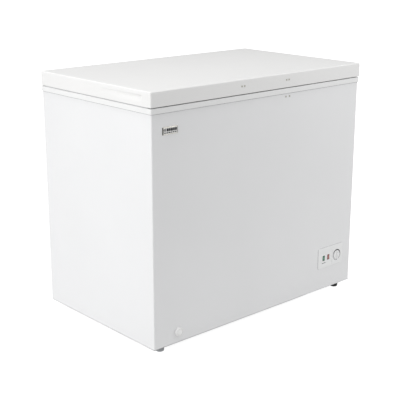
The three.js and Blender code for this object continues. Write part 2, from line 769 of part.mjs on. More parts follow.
function makeBadge() {
  const [width, height, thickness, bevel] = [60, 24.6, 2.6, 2.4];
  const outline = (margin, y) => [[1, 1], [1, -1], [-1, 1], [-1, -1]].map(([sx, sz]) =>
    new THREE.Vector3(sx * (width / 2 - margin), y, sz * (height / 2 - margin)));
  const plate = solid(new ConvexGeometry([...outline(0, 0), ...outline(bevel, -thickness)]));
  const sunk = 0.8; // depth of the face, and width of the flat round it
  const face = block(
    within(0, width, bevel + sunk),
    [-thickness - 1, -thickness + sunk],
    within(0, height, bevel + sunk),
  );
  piece("name_badge", cut(plate, face), "chrome", [BADGE_X, FRONT - GAP, BADGE_Z]);
}

// Small press-in plugs: a flange outside the sheet and a stem in its hole.
function makePlug(name, x, sheetFront, z) {
  const [stem, flange, top] = [2, 3.1, GAP + 0.8];
  const profile = [[0, -1], [stem, -1], [stem, GAP], [flange, GAP], [flange - 0.4, top], [0, top]];
  const plug = turned(profile, 12).rotateX(Math.PI / 2);
  piece(name, plug, "plugBeige", [x, sheetFront, z]);
}

// ---- Lid ----------------------------------------------------------------------------------

const LID_FRONT = LID_Y - LID_DEPTH / 2;
const HANDLE_HOLES = [-108.5, -96.5, 96.5, 108.5];
const HANDLE_Z = 817.8;
const FLANGE_Z = 799; // underside of the inner panel's rim, above the gasket
const PAN_Z = 793; // underside of the inner panel's sunk middle
const PAN_HALF = [440, 255];
const PLUG_ROOM = 5; // hollow in the lid's foam round the plugs

// The scoop in an end of the lid: deepest at its front top corner, running out rearwards and
// downwards. A margin gives the same wedge set inwards, for the sheet and the foam behind it.
function scoop(side, margin) {
  const face = LID_WIDTH / 2 + 1 - margin;
  const depth = 15;
  const [frontY, rearY] = [-252 - margin, -40 + margin];
  const [top, bottom] = [826 + margin, 802 - margin];
  const points = [
    [face, frontY, top],
    [face, frontY, bottom],
    [face - depth, frontY, top - 2],
    [face, rearY, top],
    [face, rearY, bottom],
  ];
  if (margin) {
    const outer = points.map(([, y, z]) => [face + 2 * margin, y, z]);
    points.push(...outer);
  }
  return solid(new ConvexGeometry(points.map(([x, y, z]) => new THREE.Vector3(side * x, y, z))));
}

const scoops = (margin) => [-1, 1].map((side) => scoop(side, margin));

function lidCore(inset, [z0, z1]) {
  return domedSlab(LID_WIDTH - 2 * inset, LID_DEPTH - 2 * inset, [z0, z1], LID_CORNER - inset,
    LID_EDGE - inset, LID_Y);
}

function makeLid() {
  const outside = cut(lidCore(0, [LID_BOTTOM, LID_TOP]), ...scoops(0));
  const inside = cut(lidCore(SHEET, [LID_BOTTOM - 5, LID_TOP - SHEET]), ...scoops(1.2));
  const holes = HANDLE_HOLES.map((x) =>
    rod("y", [LID_FRONT - 2, LID_FRONT + 3], PLUG_HOLE, [x, HANDLE_Z], 8));
  piece("lid_outer", cut(outside, inside, ...holes), "whitePaint");

  const foamInset = SHEET + GAP;
  const plugRoom = block(
    [HANDLE_HOLES[0] - PLUG_ROOM, HANDLE_HOLES.at(-1) + PLUG_ROOM],
    [LID_FRONT, LID_FRONT + 2],
    within(HANDLE_Z, 2 * PLUG_ROOM, 0),
  );
  const core = cut(
    lidCore(foamInset, [FLANGE_Z + SHEET + GAP, LID_TOP - foamInset]),
    ...scoops(1.6),
    plugRoom,
  );
  const panFill = slab(
    PAN_HALF[0] - foamInset, PAN_HALF[1] - foamInset,
    [PAN_Z + foamInset, FLANGE_Z + SHEET + 2], LID_Y,
  );
  piece("lid_foam", join(core, panFill), "foam");

  const rim = roundedSlab(LID_WIDTH - 2 * foamInset, LID_DEPTH - 2 * foamInset,
    [FLANGE_Z, FLANGE_Z + SHEET], LID_CORNER - foamInset, LID_Y);
  const pan = slab(...PAN_HALF, [PAN_Z, FLANGE_Z + SHEET], LID_Y);
  const panHollow = slab(PAN_HALF[0] - SHEET, PAN_HALF[1] - SHEET,
    [PAN_Z + SHEET, LID_TOP], LID_Y);
  piece("lid_inner", cut(join(rim, pan), panHollow), "whitePlastic");

  const sealInset = 9;
  const sealWidth = 16;
  const seal = (inset) => [LID_WIDTH / 2 - inset, LID_DEPTH / 2 - inset];
  const gasket = ring(seal(sealInset), seal(sealInset + sealWidth),
    [TRIM_TOP + GAP, FLANGE_Z - GAP], LID_Y);
  piece("lid_gasket", gasket, "rubber");
}

// ---- Hinges -------------------------------------------------------------------------------

const KNUCKLE_RADIUS = 7;
const PIN_RADIUS = 3;
const PIN_BORE = 3.5;
const LEAF = 2; // leaf thickness
const LEAF_BOTTOM = 690; // of the cabinet leaf
const LEAF_TOP = 832; // of the lid leaf
const CABINET_KNUCKLES = [[0, 10], [54, 64]]; // along X from the hinge's left end
const LID_KNUCKLES = [[10.5, 20.5], [43.5, 53.5]];
const SPRING_SPAN = [22.5, 41.5];

// One leaf: its plates, and knuckles that a web ties to them.
function leaf(x0, plates, spans, webY, webZ) {
  const across = [x0, x0 + HINGE_WIDTH];
  const sheets = plates.map(([y, z]) => block(across, y, z));
  const knuckles = spans.map(([from, to]) => {
    const span = [x0 + from, x0 + to];
    const barrel = rod("x", span, KNUCKLE_RADIUS, [PIN_Y, PIN_Z]);
    return join(barrel, block(span, webY, webZ));
  });
  const bore = rod("x", [x0 - 1, x0 + HINGE_WIDTH + 1], PIN_BORE, [PIN_Y, PIN_Z], 12);
  return cut(join(...sheets, ...knuckles), bore);
}

function makeHinge(side, middle) {
  const x0 = middle - HINGE_WIDTH / 2;
  const rear = HALF_D + GAP;
  const passTrim = HALF_D + TRIM_OVERHANG + GAP; // the leaf jogs back past the trim
  const jogTop = TRIM_BOTTOM - 1.7;
  const upperTop = PIN_Z - KNUCKLE_RADIUS - 1;
  const cabinetPlates = [
    [[rear, rear + LEAF], [LEAF_BOTTOM, jogTop]],
    [[rear, passTrim + LEAF], [jogTop - LEAF, jogTop]],
    [[passTrim, passTrim + LEAF], [jogTop - LEAF, upperTop]],
  ];
  const cabinetLeaf = leaf(x0, cabinetPlates, CABINET_KNUCKLES, [passTrim, PIN_Y],
    [upperTop - 2, PIN_Z]);
  piece(`hinge_cabinet_leaf_${side}`, cabinetLeaf, "galvanised");

  const lidRear = LID_Y + LID_DEPTH / 2 + GAP;
  const lidPlates = [[[lidRear, lidRear + LEAF], [PIN_Z + KNUCKLE_RADIUS - 1, LEAF_TOP]]];
  const lidLeaf = leaf(x0, lidPlates, LID_KNUCKLES, [lidRear, PIN_Y],
    [PIN_Z, PIN_Z + KNUCKLE_RADIUS + 1]);
  piece(`hinge_lid_leaf_${side}`, lidLeaf, "galvanised");

  const pin = rod("x", [x0 - 2, x0 + HINGE_WIDTH + 2], PIN_RADIUS, [PIN_Y, PIN_Z], 12);
  piece(`hinge_pin_${side}`, pin, "galvanised");

  // The counterbalance spring is a close helix round the pin.
  const turns = 6;
  const stepsPerTurn = 8;
  const coilRadius = 4.9;
  const wire = 1;
  const [from, to] = SPRING_SPAN;
  const helix = Array.from({ length: turns * stepsPerTurn + 1 }, (_, i) => {
    const angle = (2 * Math.PI * i) / stepsPerTurn;
    const along = x0 + from + wire + ((to - from - 2 * wire) * i) / (turns * stepsPerTurn);
    return [along, PIN_Y + coilRadius * Math.cos(angle), PIN_Z + coilRadius * Math.sin(angle)];
  });
  const spring = tube(helix, wire, { sides: 5, bend: 0 });
  piece(`hinge_spring_${side}`, spring, "galvanised");
}

// ---- Basket -------------------------------------------------------------------------------

// An open basket whose four hooks rest on the ledges in front and behind.
function makeBasket() {
  const middle = 296;
  const [halfWidth, halfDepth] = [108, 214];
  const [bottom, rim] = [580, 779];
  const wall = 4;
  const floor = 4;
  const move = (x) => x + middle;
  const span = (half) => [move(-half), move(half)];
  const tub = cut(
    block(span(halfWidth), [-halfDepth, halfDepth], [bottom, rim]),
    block(span(halfWidth - wall), [-halfDepth + wall, halfDepth - wall], [bottom + floor, LID_TOP]),
  );
  const hookTop = LEDGE_TOP + GAP + 5;
  const hookReach = OPENING_HALF_D + LEDGE_WIDTH - 2;
  const hooks = [];
  const hookX = 90; // either side of the basket's middle
  const hookWidth = 5;
  for (const x of [-hookX, hookX]) {
    for (const side of [-1, 1]) {
      const across = within(move(x), hookWidth, 0);
      const reach = [side * (halfDepth - wall), side * hookReach].sort((a, b) => a - b);
      const stand = [side * (halfDepth - wall), side * halfDepth].sort((a, b) => a - b);
      hooks.push(block(across, reach, [LEDGE_TOP + GAP, hookTop]));
      hooks.push(block(across, stand, [rim - 1, hookTop]));
    }
  }
  piece("wire_basket", join(tub, ...hooks), "coatedWire");
}

// ---- The whole freezer --------------------------------------------------------------------

makeWrapper();
makeRearAndBase();
makeFoamAndLiner();
makeCoils();
makeTrim();
makeFeet();
makeCovers();
makeCompressor();
makeControls();
makeBadge();
makeDrain();
makeLid();
makeHinge("left", -HINGE_X);
makeHinge("right", HINGE_X);
makeBasket();
KEEPER_X.forEach((x, i) => makePlug(`keeper_plug_${i + 1}`, x, FRONT, KEEPER_Z));
HANDLE_HOLES.forEach((x, i) => makePlug(`handle_plug_${i + 1}`, x, LID_FRONT, HANDLE_Z));

export default freezer;
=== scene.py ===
"""A white chest freezer, shown closed on a pale floor under soft studio light.

Metres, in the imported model's own frame: +Z up, -Y the freezer's front, +X its right side.
"""

import math

import bmesh
import bpy
from mathutils import Matrix, Vector


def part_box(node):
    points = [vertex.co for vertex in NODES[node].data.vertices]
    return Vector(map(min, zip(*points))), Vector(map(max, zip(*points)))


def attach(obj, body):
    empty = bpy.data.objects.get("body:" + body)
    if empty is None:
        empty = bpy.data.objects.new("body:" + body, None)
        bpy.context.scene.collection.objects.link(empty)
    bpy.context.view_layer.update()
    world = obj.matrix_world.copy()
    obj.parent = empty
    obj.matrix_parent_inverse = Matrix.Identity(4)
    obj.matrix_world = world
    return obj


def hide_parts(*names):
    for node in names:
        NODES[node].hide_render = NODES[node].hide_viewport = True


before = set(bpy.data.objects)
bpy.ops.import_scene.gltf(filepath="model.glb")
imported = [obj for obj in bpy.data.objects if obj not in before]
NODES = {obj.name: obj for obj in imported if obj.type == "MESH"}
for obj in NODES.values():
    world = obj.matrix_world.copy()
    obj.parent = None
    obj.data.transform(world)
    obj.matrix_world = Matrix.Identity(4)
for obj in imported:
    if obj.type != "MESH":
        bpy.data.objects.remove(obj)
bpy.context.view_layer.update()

MM = 0.001
SMOOTH_ANGLE = math.radians(40)


def mm(*rows):
    """Rows of numbers given in millimetres."""
    return [tuple(value * MM for value in row) for row in rows]


class NodeBox:
    """A CAD node's lowest and highest corners at rest, with its middle and its half sizes."""

    def __init__(self, node):
        self.low, self.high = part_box(node)
        spans = list(zip(self.low, self.high))
        self.mid_x, self.mid_y, self.mid_z = ((a + b) / 2 for a, b in spans)
        self.half_x, self.half_y, self.half_z = ((b - a) / 2 for a, b in spans)


# ---- Mesh helpers ---------------------------------------------------------------------------


def finish_mesh(obj):
    """Smooth shading that keeps the edges sharper than SMOOTH_ANGLE."""
    bm = bmesh.new()
    bm.from_mesh(obj.data)
    bmesh.ops.remove_doubles(bm, verts=bm.verts, dist=1e-7)
    bmesh.ops.recalc_face_normals(bm, faces=bm.faces)
    for face in bm.faces:
        face.smooth = True
    for edge in bm.edges:
        if len(edge.link_faces) == 2:
            edge.smooth = edge.calc_face_angle(0.0) < SMOOTH_ANGLE
    bm.to_mesh(obj.data)
    bm.free()
    weighted = obj.modifiers.new("weighted_normals", "WEIGHTED_NORMAL")
    weighted.keep_sharp = True


def add_piece(name, verts, faces, surface, body, replaces=()):
    """One new piece that rides on a CAD body and stands for the CAD nodes it replaces."""
    mesh = bpy.data.meshes.new(name)
    mesh.from_pydata([tuple(v) for v in verts], [], faces)
    mesh.materials.append(surface.material)
    obj = bpy.data.objects.new(name, mesh)
    bpy.context.scene.collection.objects.link(obj)
    finish_mesh(obj)
    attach(obj, body)
    if replaces:
        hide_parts(*replaces)


class Build:
    """Collects several closed forms into the vertices and faces of one piece."""

    def __init__(self):
        self.verts = []
        self.faces = []

    def loops(self, loops, closed=False, cap_first=True):
        """Skins a row of loops that have the same number of points."""
        first = len(self.verts)
        count = len(loops[0])
        for loop in loops:
            self.verts.extend(Vector(p) for p in loop)
        rows = len(loops)
        for r in range(rows if closed else rows - 1):
            a = first + r * count
            b = first + ((r + 1) % rows) * count
            for i in range(count):
                j = (i + 1) % count
                self.faces.append((a + i, a + j, b + j, b + i))
        if not closed:
            if cap_first:
                self.faces.append(tuple(range(first + count - 1, first - 1, -1)))
            last = first + (rows - 1) * count
            self.faces.append(tuple(range(last, last + count)))
        return self

    def add(self, name, surface, body, replaces=()):
        add_piece(name, self.verts, self.faces, surface, body, replaces)


def rounded_loop(half_u, half_v, radius, steps=6):
    """A rounded rectangle's points, anticlockwise."""
    radius = max(min(radius, half_u, half_v), 1e-6)
    points = []
    for quarter, (su, sv) in enumerate([(1, 1), (-1, 1), (-1, -1), (1, -1)]):
        for i in range(steps + 1):
            angle = math.pi / 2 * (quarter + i / steps)
            points.append((
                su * (half_u - radius) + radius * math.cos(angle),
                sv * (half_v - radius) + radius * math.sin(angle),
            ))
    return points


def upright(box):
    """Places loops in plan round a node's middle, with heights along +Z."""
    return lambda u, v, h: Vector((box.mid_x + u, box.mid_y + v, h))


def facing_front(box, back_y):
    """Places loops on the front round a node's middle, with heights towards -Y."""
    return lambda u, v, h: Vector((box.mid_x + u, back_y - h, box.mid_z + v))


def facing_right(box):
    """Places loops on the right side round a node's middle, with heights towards +X."""
    return lambda u, v, h: Vector((box.low.x + h, box.mid_y + u, box.mid_z + v))


def facing_rear(centre_x, centre_z, back_y):
    """Places loops on the rear, with heights towards +Y."""
    return lambda u, v, h: Vector((centre_x - u, back_y + h, centre_z + v))


def rect_rings(place, rings, steps=6):
    """Loops from rings of (half width, half height, corner radius, height)."""
    return [
        [place(u, v, h) for u, v in rounded_loop(hu, hv, r, steps)] for hu, hv, r, h in rings
    ]


def round_rings(place, profile, sides=32):
    """Loops from a turned profile of (radius, height)."""
    turn = [2 * math.pi * i / sides for i in range(sides)]
    return [
        [place(max(r, 1e-5) * math.cos(a), max(r, 1e-5) * math.sin(a), h) for a in turn]
        for r, h in profile
    ]


def soft_edge(radius, steps=4):
    """Points of a quarter round from the side (0, -radius) to the top (-radius, 0)."""
    return [
        (
            radius * (math.cos(math.pi / 2 * i / steps) - 1),
            radius * (math.sin(math.pi / 2 * i / steps) - 1),
        )
        for i in range(steps + 1)
    ]


def tube_loops(points, radius, sides=8, cyclic=False):
    """Round loops along a path, turned as little as possible from one to the next."""
    points = [Vector(p) for p in points]
    count = len(points)
    loops = []
    up = None
    for i, point in enumerate(points):
        before = points[(i - 1) % count] if cyclic or i else point
        after = points[(i + 1) % count] if cyclic or i < count - 1 else point
        way = (after - before).normalized()
        if up is None:
            up = way.orthogonal().normalized()
        up = (up - way * up.dot(way)).normalized()
        side = way.cross(up)
        loops.append([
            point + radius * (math.cos(a) * up + math.sin(a) * side)
            for a in (2 * math.pi * k / sides for k in range(sides))
        ])
    return loops


def rounded_path(corners, radius):
    """A path of straight runs with round bends at its corners."""
    steps = 5
    corners = [Vector(c) for c in corners]
    path = [corners[0]]
    for before, at, after in zip(corners, corners[1:], corners[2:]):
        reach = min(radius, (before - at).length / 2, (after - at).length / 2)
        start = at + (before - at).normalized() * reach
        end = at + (after - at).normalized() * reach
        for i in range(steps + 1):
            t = i / steps
            path.append(start * (1 - t) ** 2 + at * 2 * t * (1 - t) + end * t**2)
    return path + [corners[-1]]


# ---- Materials ------------------------------------------------------------------------------


class Surface:
    """Builds a node material round one Principled shader, in object coordinates."""

    def __init__(self, name, roughness, metallic=0.0, specular=0.5, coat=0.0):
        self.material = bpy.data.materials.new(name)
        self.material.use_nodes = True
        self.tree = self.material.node_tree
        self.shader = self.tree.nodes["Principled BSDF"]
        self.shader.inputs["Metallic"].default_value = metallic
        self.shader.inputs["Roughness"].default_value = roughness
        self.shader.inputs["Specular IOR Level"].default_value = specular
        self.shader.inputs["Coat Weight"].default_value = coat
        self.shader.inputs["Coat Roughness"].default_value = 0.12
        self.coords = self.tree.nodes.new("ShaderNodeTexCoord").outputs["Object"]
        self.normal = None
        self.slot = None  # the record's material slot, set below

    def node(self, kind, **inputs):
        made = self.tree.nodes.new(kind)
        for key, value in inputs.items():
            made.inputs[key.replace("_", " ")].default_value = value
        return made

    def link(self, output, socket):
        self.tree.links.new(output, socket)

    def noise(self, scale, detail=4.0, stretch=(1, 1, 1)):
        texture = self.node("ShaderNodeTexNoise", Scale=scale, Detail=detail, Roughness=0.55)
        self.link(self.stretched(stretch), texture.inputs["Vector"])
        return texture.outputs["Fac"]

    def cells(self, scale, feature="F1", output="Distance"):
        texture = self.node("ShaderNodeTexVoronoi", Scale=scale)
        texture.feature = feature
        self.link(self.coords, texture.inputs["Vector"])
        return texture.outputs[output]

    def stretched(self, stretch):
        if tuple(stretch) == (1, 1, 1):
            return self.coords
        return self.mapped(stretch)

    def mapped(self, scale, shift=(0, 0, 0)):
        """The object coordinates, scaled and then shifted."""
        mapping = self.node("ShaderNodeMapping", Location=shift, Scale=scale)
        self.link(self.coords, mapping.inputs["Vector"])
        return mapping.outputs["Vector"]

    def ball(self, scale, shift=(0, 0, 0)):
        """1 at the middle of a ball, falling to 0 at its surface."""
        texture = self.node("ShaderNodeTexGradient")
        texture.gradient_type = "SPHERICAL"
        self.link(self.mapped(scale, shift), texture.inputs["Vector"])
        return texture.outputs["Fac"]

    def ramp(self, factor, stops):
        """A colour ramp with stops of (position, colour)."""
        ramp = self.node("ShaderNodeValToRGB")
        elements = ramp.color_ramp.elements
        for i, (position, colour) in enumerate(stops):
            element = elements[i] if i < 2 else elements.new(position)
            element.position = position
            element.color = (*colour, 1)
        self.link(factor, ramp.inputs["Fac"])
        return ramp.outputs["Color"]

    def mix(self, factor, a, b, mode="MIX"):
        mix = self.node("ShaderNodeMix")
        mix.data_type = "RGBA"
        mix.blend_type = mode
        for value, socket in ((factor, mix.inputs[0]), (a, mix.inputs[6]), (b, mix.inputs[7])):
            if isinstance(value, bpy.types.NodeSocket):
                self.link(value, socket)
            else:
                socket.default_value = value if isinstance(value, float) else (*value, 1)
        return mix.outputs[2]

    def spread(self, factor, low, high):
        """A 0 to 1 value carried to another range."""
        remap = self.node("ShaderNodeMapRange", To_Min=low, To_Max=high)
        self.link(factor, remap.inputs["Value"])
        return remap.outputs["Result"]

    def colour(self, output):
        self.link(output, self.shader.inputs["Base Color"])
        return self

    def rough(self, factor, low, high):
        self.link(self.spread(factor, low, high), self.shader.inputs["Roughness"])
        return self

    def bump(self, height, depth):
        """Adds relief of a given depth in metres."""
        bump = self.node("ShaderNodeBump", Strength=1.0, Distance=depth)
        self.link(height, bump.inputs["Height"])
        if self.normal:
            self.link(self.normal, bump.inputs["Normal"])
        self.normal = bump.outputs["Normal"]
        self.link(self.normal, self.shader.inputs["Normal"])
        return self


def shade(colour, factor):
    return tuple(min(c * factor, 1.0) for c in colour)


def plain(name, colour, roughness, variation=0.02, grain=900.0, depth=0.00003, mottle=6.0, **kw):
    """A painted or moulded surface: slight mottling in colour and sheen, and a fine grain."""
    surface = Surface(name, roughness, **kw)
    cloud = surface.noise(mottle, detail=5.0)
    surface.colour(surface.ramp(cloud, [
        (0.3, shade(colour, 1 - variation)),
        (0.7, shade(colour, 1 + variation)),
    ]))
    surface.rough(surface.noise(mottle * 3), roughness * 0.88, roughness * 1.12)
    surface.bump(surface.noise(grain, detail=2.0), depth)
    return surface


# The floor's glow far away and at its middle: first as it lights the freezer, then as the
# camera sees it. It changes over the reach, in metres from the middle.
FLOOR_GLOW = (0.094, 0.3)
FLOOR_SEEN = (1.0, 0.9)
FLOOR_GLOW_REACH = 3.2
WHITE = (0.788, 0.791, 0.797)

white_paint = plain("white_powder_paint", WHITE, 0.38, 0.012, 700.0, 0.00002, 3.0, specular=0.4)
lid_paint = plain("lid_powder_paint", (0.79, 0.788, 0.782), 0.4, 0.012, 700.0, 0.00002, 3.0,
                  specular=0.4)
white_plastic = plain("white_moulded_plastic", (0.83, 0.835, 0.835), 0.42, 0.01, 2600.0, 0.00001)
trim_plastic = plain("trim_plastic", (0.795, 0.797, 0.795), 0.42, 0.01, 2600.0, 0.00001)
cap_plastic = plain("drain_cap_plastic", (0.87, 0.87, 0.865), 0.35, 0.01, 2600.0, 0.00001)
fascia_plastic = plain("fascia_plastic", (0.82, 0.825, 0.825), 0.36, 0.01, 2600.0, 0.00001)
inner_plastic = plain("vacuum_formed_plastic", (0.80, 0.81, 0.82), 0.3, 0.02, 500.0, 0.00004)
grey_plastic = plain("grey_foot_plastic", (0.44, 0.455, 0.475), 0.5, 0.06, 1500.0, 0.00004, 60.0)
black_plastic = plain("black_foot_plastic", (0.018, 0.018, 0.019), 0.55, 0.3, 1500.0, 0.00004,
                      60.0)
beige_plastic = plain("beige_plug_plastic", (0.44, 0.43, 0.37), 0.5, 0.05, 2500.0, 0.00002, 200.0)
gasket_rubber = plain("gasket_rubber", (0.55, 0.555, 0.56), 0.7, 0.04, 1800.0, 0.00002, 12.0)
# Grey bead colour: a painted shadow line under the top trim, and the seal round the control
# fascia.
seal_and_shadow_bead = plain("seal_and_shadow_line_bead", (0.45, 0.455, 0.46), 0.6, 0.05, 1500.0, 0.00003, 40.0)
mount_rubber = plain("mount_rubber", (0.03, 0.03, 0.03), 0.8, 0.2, 1400.0, 0.00006, 80.0)
black_paint = plain("black_enamel", (0.016, 0.016, 0.017), 0.3, 0.25, 500.0, 0.00005, 20.0,
                    coat=0.3)
wire_coat = plain("wire_coating", (0.80, 0.81, 0.81), 0.3, 0.02, 400.0, 0.00005, 30.0, coat=0.2)
print_ink = plain("printed_ink", (0.02, 0.02, 0.022), 0.6, 0.2, 4000.0, 0.000004, 300.0)
pale_ink = plain("pale_printed_ink", (0.16, 0.165, 0.175), 0.6, 0.1, 4000.0, 0.000004, 300.0)


def make_galvanised(name="galvanised_steel", brightness=1.0, metallic=1.0):
    """Zinc-coated steel with its spangle of flat crystals."""
    surface = Surface(name, 0.42, metallic=metallic)
    spangle = surface.cells(170.0, output="Color")
    tone = surface.node("ShaderNodeRGBToBW")
    surface.link(spangle, tone.inputs["Color"])
    surface.colour(surface.ramp(tone.outputs["Val"], [
        (0.1, shade((0.50, 0.52, 0.53), brightness)), (0.5, shade((0.60, 0.61, 0.62), brightness)),
        (0.9, shade((0.70, 0.71, 0.71), brightness)),
    ]))
    surface.rough(tone.outputs["Val"], 0.34, 0.52)
    surface.bump(surface.noise(1200.0, stretch=(1, 1, 0.2)), 0.00002)
    return surface


def make_stucco_aluminium():
    """Embossed aluminium sheet, pressed all over with small soft dimples."""
    surface = Surface("stucco_aluminium", 0.34, metallic=1.0)
    surface.colour(surface.ramp(surface.noise(12.0), [
        (0.3, (0.74, 0.75, 0.76)), (0.7, (0.82, 0.83, 0.83)),
    ]))
    surface.rough(surface.noise(40.0), 0.28, 0.4)
    surface.bump(surface.cells(260.0, feature="SMOOTH_F1"), 0.0004)
    surface.bump(surface.noise(1500.0), 0.00002)
    return surface


def make_copper():
    """Drawn copper tube, darkened in patches where it was brazed and handled."""
    surface = Surface("drawn_copper", 0.35, metallic=1.0)
    surface.colour(surface.ramp(surface.noise(35.0, detail=8.0), [
        (0.25, (0.30, 0.12, 0.06)), (0.5, (0.62, 0.30, 0.18)), (0.8, (0.74, 0.40, 0.26)),
    ]))
    surface.rough(surface.noise(60.0), 0.25, 0.5)
    surface.bump(surface.noise(1500.0), 0.00002)
    return surface


def make_foam():
    """Sprayed polyurethane foam, with its open cells showing where it was cut."""
    surface = Surface("polyurethane_foam", 0.9, specular=0.2)
    surface.colour(surface.ramp(surface.noise(25.0, detail=6.0), [
        (0.3, (0.66, 0.55, 0.27)), (0.7, (0.78, 0.69, 0.42)),
    ]))
    surface.bump(surface.cells(900.0), 0.0005)
    surface.bump(surface.noise(60.0), 0.0008)
    return surface


def make_badge_frame():
    """Bright plating, with painted shade on its two upright bevels: they are coloured dark by the
    way they face.
    """
    surface = Surface("badge_frame_plating", 0.25, metallic=0.5)
    parts = surface.node("ShaderNodeSeparateXYZ")
    surface.link(surface.node("ShaderNodeTexCoord").outputs["Normal"], parts.inputs["Vector"])
    across = surface.node("ShaderNodeMapRange", From_Min=-1.0)
    surface.link(parts.outputs["X"], across.inputs["Value"])
    # Painted shade: the bevels facing left and right take a dark colour from their facing.
    bevel_painted_shade = surface.ramp(across.outputs["Result"], [
        (0.2, (0.17, 0.17, 0.15)), (0.4, (0.86, 0.84, 0.78)), (0.6, (0.86, 0.84, 0.78)),
        (0.8, (0.24, 0.24, 0.235)),
    ])
    surface.colour(surface.mix(surface.noise(120.0), bevel_painted_shade, (0.5, 0.5, 0.48), "OVERLAY"))
    surface.rough(surface.noise(300.0), 0.2, 0.32)
    surface.bump(surface.noise(1500.0), 0.00001)
    return surface


def make_chrome(name, dark, bright, roughness, grain_stretch, metallic):
    """Bright-plated plastic, with a faint grain along it."""
    surface = Surface(name, roughness, metallic=metallic)
    surface.colour(surface.ramp(surface.noise(90.0, stretch=grain_stretch), [
        (0.35, dark), (0.65, bright),
    ]))
    surface.rough(surface.noise(300.0, stretch=grain_stretch), roughness * 0.8, roughness * 1.3)
    surface.bump(surface.noise(1500.0, stretch=grain_stretch), 0.00001)
    return surface


def make_lens(name, slot, centre, dark, light):
    """A clear coloured lens with a painted glow: paler in its middle where the lamp sits behind
    it.
    """
    surface = Surface(name, 0.18, specular=0.6, coat=0.6)
    surface.slot = slot
    scale = (160, 160, 110)
    shift = [-c * s for c, s in zip(centre, scale)]
    # Painted glow: the colour grows paler towards the lamp's middle.
    surface.colour(surface.ramp(surface.ball(scale, shift), [(0.0, dark), (0.9, light)]))
    surface.bump(surface.noise(700.0), 0.00002)
    return surface


def make_floor():
    """A floor that the camera sees nearly white, and that lights the freezer far less."""
    surface = Surface("studio_floor", 0.8, specular=0.1)
    surface.colour(surface.ramp(surface.noise(1.5), [
        (0.3, (0.49, 0.49, 0.49)), (0.7, (0.51, 0.51, 0.51)),
    ]))
    near = surface.ball([1 / FLOOR_GLOW_REACH] * 3)
    rays = surface.node("ShaderNodeLightPath").outputs
    glow = surface.node("ShaderNodeMix")
    surface.link(rays["Is Camera Ray"], glow.inputs[0])
    surface.link(surface.spread(near, *FLOOR_GLOW), glow.inputs[2])
    surface.link(surface.spread(near, *FLOOR_SEEN), glow.inputs[3])
    surface.shader.inputs["Emission Color"].default_value = (1, 1, 1, 1)
    surface.link(glow.outputs[0], surface.shader.inputs["Emission Strength"])
    surface.bump(surface.noise(80.0), 0.0001)
    return surface


galvanised = make_galvanised()
pan_steel = make_galvanised("dull_pan_steel", 0.3, 0.6)
stucco_aluminium = make_stucco_aluminium()
copper = make_copper()
foam = make_foam()
badge_frame = make_badge_frame()
badge_face = make_chrome("badge_face_plating", (0.70, 0.70, 0.69), (0.78, 0.78, 0.77), 0.45,
                         (0.1, 1, 1), metallic=0.35)

SLOTS = {
    "white_paint": [white_paint, lid_paint],
    "white_plastic": [white_plastic, trim_plastic, cap_plastic, fascia_plastic, inner_plastic],
    "grey_plastic": [grey_plastic, pale_ink],
    "black_plastic": [black_plastic, print_ink],
    "beige_plastic": [beige_plastic],
    "grey_rubber": [gasket_rubber, seal_and_shadow_bead],
    "chrome_trim": [badge_frame, badge_face],
    "galvanised_steel": [galvanised],
    "coated_wire": [wire_coat],
}
for slot, surfaces in SLOTS.items():
    for surface in surfaces:
        surface.slot = slot


# ---- CAD nodes that keep their shape --------------------------------------------------------

KEPT = {
    pan_steel: ["base_pan"],
    galvanised: [
        "rear_panel", "compressor_base_plate", "compartment_panel", "rear_cover",
        "thermostat_body", "thermostat_shaft", *[f"compressor_bolt_{i}" for i in range(1, 5)],
        *[f"hinge_{part}_{side}" for part in ("cabinet_leaf", "lid_leaf", "pin")
          for side in ("left", "right")],
    ],
    stucco_aluminium: ["inner_liner"],
    copper: [
        "evaporator_coil", "condenser_coil", "suction_line", "discharge_line", "filter_drier",
        "capillary_tube",
    ],
    foam: ["cabinet_foam", "lid_foam"],
    black_paint: ["compressor"],
    black_plastic: ["compressor_terminal_cover", "cord_gland"],
    mount_rubber: [f"compressor_grommet_{i}" for i in range(1, 5)],
    white_plastic: ["drain_tube"],
}
BEVEL_WIDTH = 0.35 * MM


def keep_nodes():
    """Gives the kept nodes their materials, fine edges and smooth round faces."""
    for surface, names in KEPT.items():
        for name in names:
            obj = NODES[name]
            obj.data.materials.clear()
            obj.data.materials.append(surface.material)
            if "custom_normal" in obj.data.attributes:
                obj.data.attributes.remove(obj.data.attributes["custom_normal"])
            for polygon in obj.data.polygons:
                polygon.use_smooth = True
            weld = obj.modifiers.new("weld", "WELD")
            weld.merge_threshold = 1e-6
            bevel = obj.modifiers.new("fine_edges", "BEVEL")
            bevel.width = BEVEL_WIDTH
            bevel.segments = 2
            bevel.limit_method = "ANGLE"
            bevel.angle_limit = math.radians(38)
            bevel.use_clamp_overlap = True
            weighted = obj.modifiers.new("weighted_normals", "WEIGHTED_NORMAL")
            weighted.keep_sharp = True


# ---- Cabinet --------------------------------------------------------------------------------

SHEET = 1 * MM
CABINET_CORNER = 4 * MM
TRIM_BAND = 16.8 * MM  # height of the trim's outer band


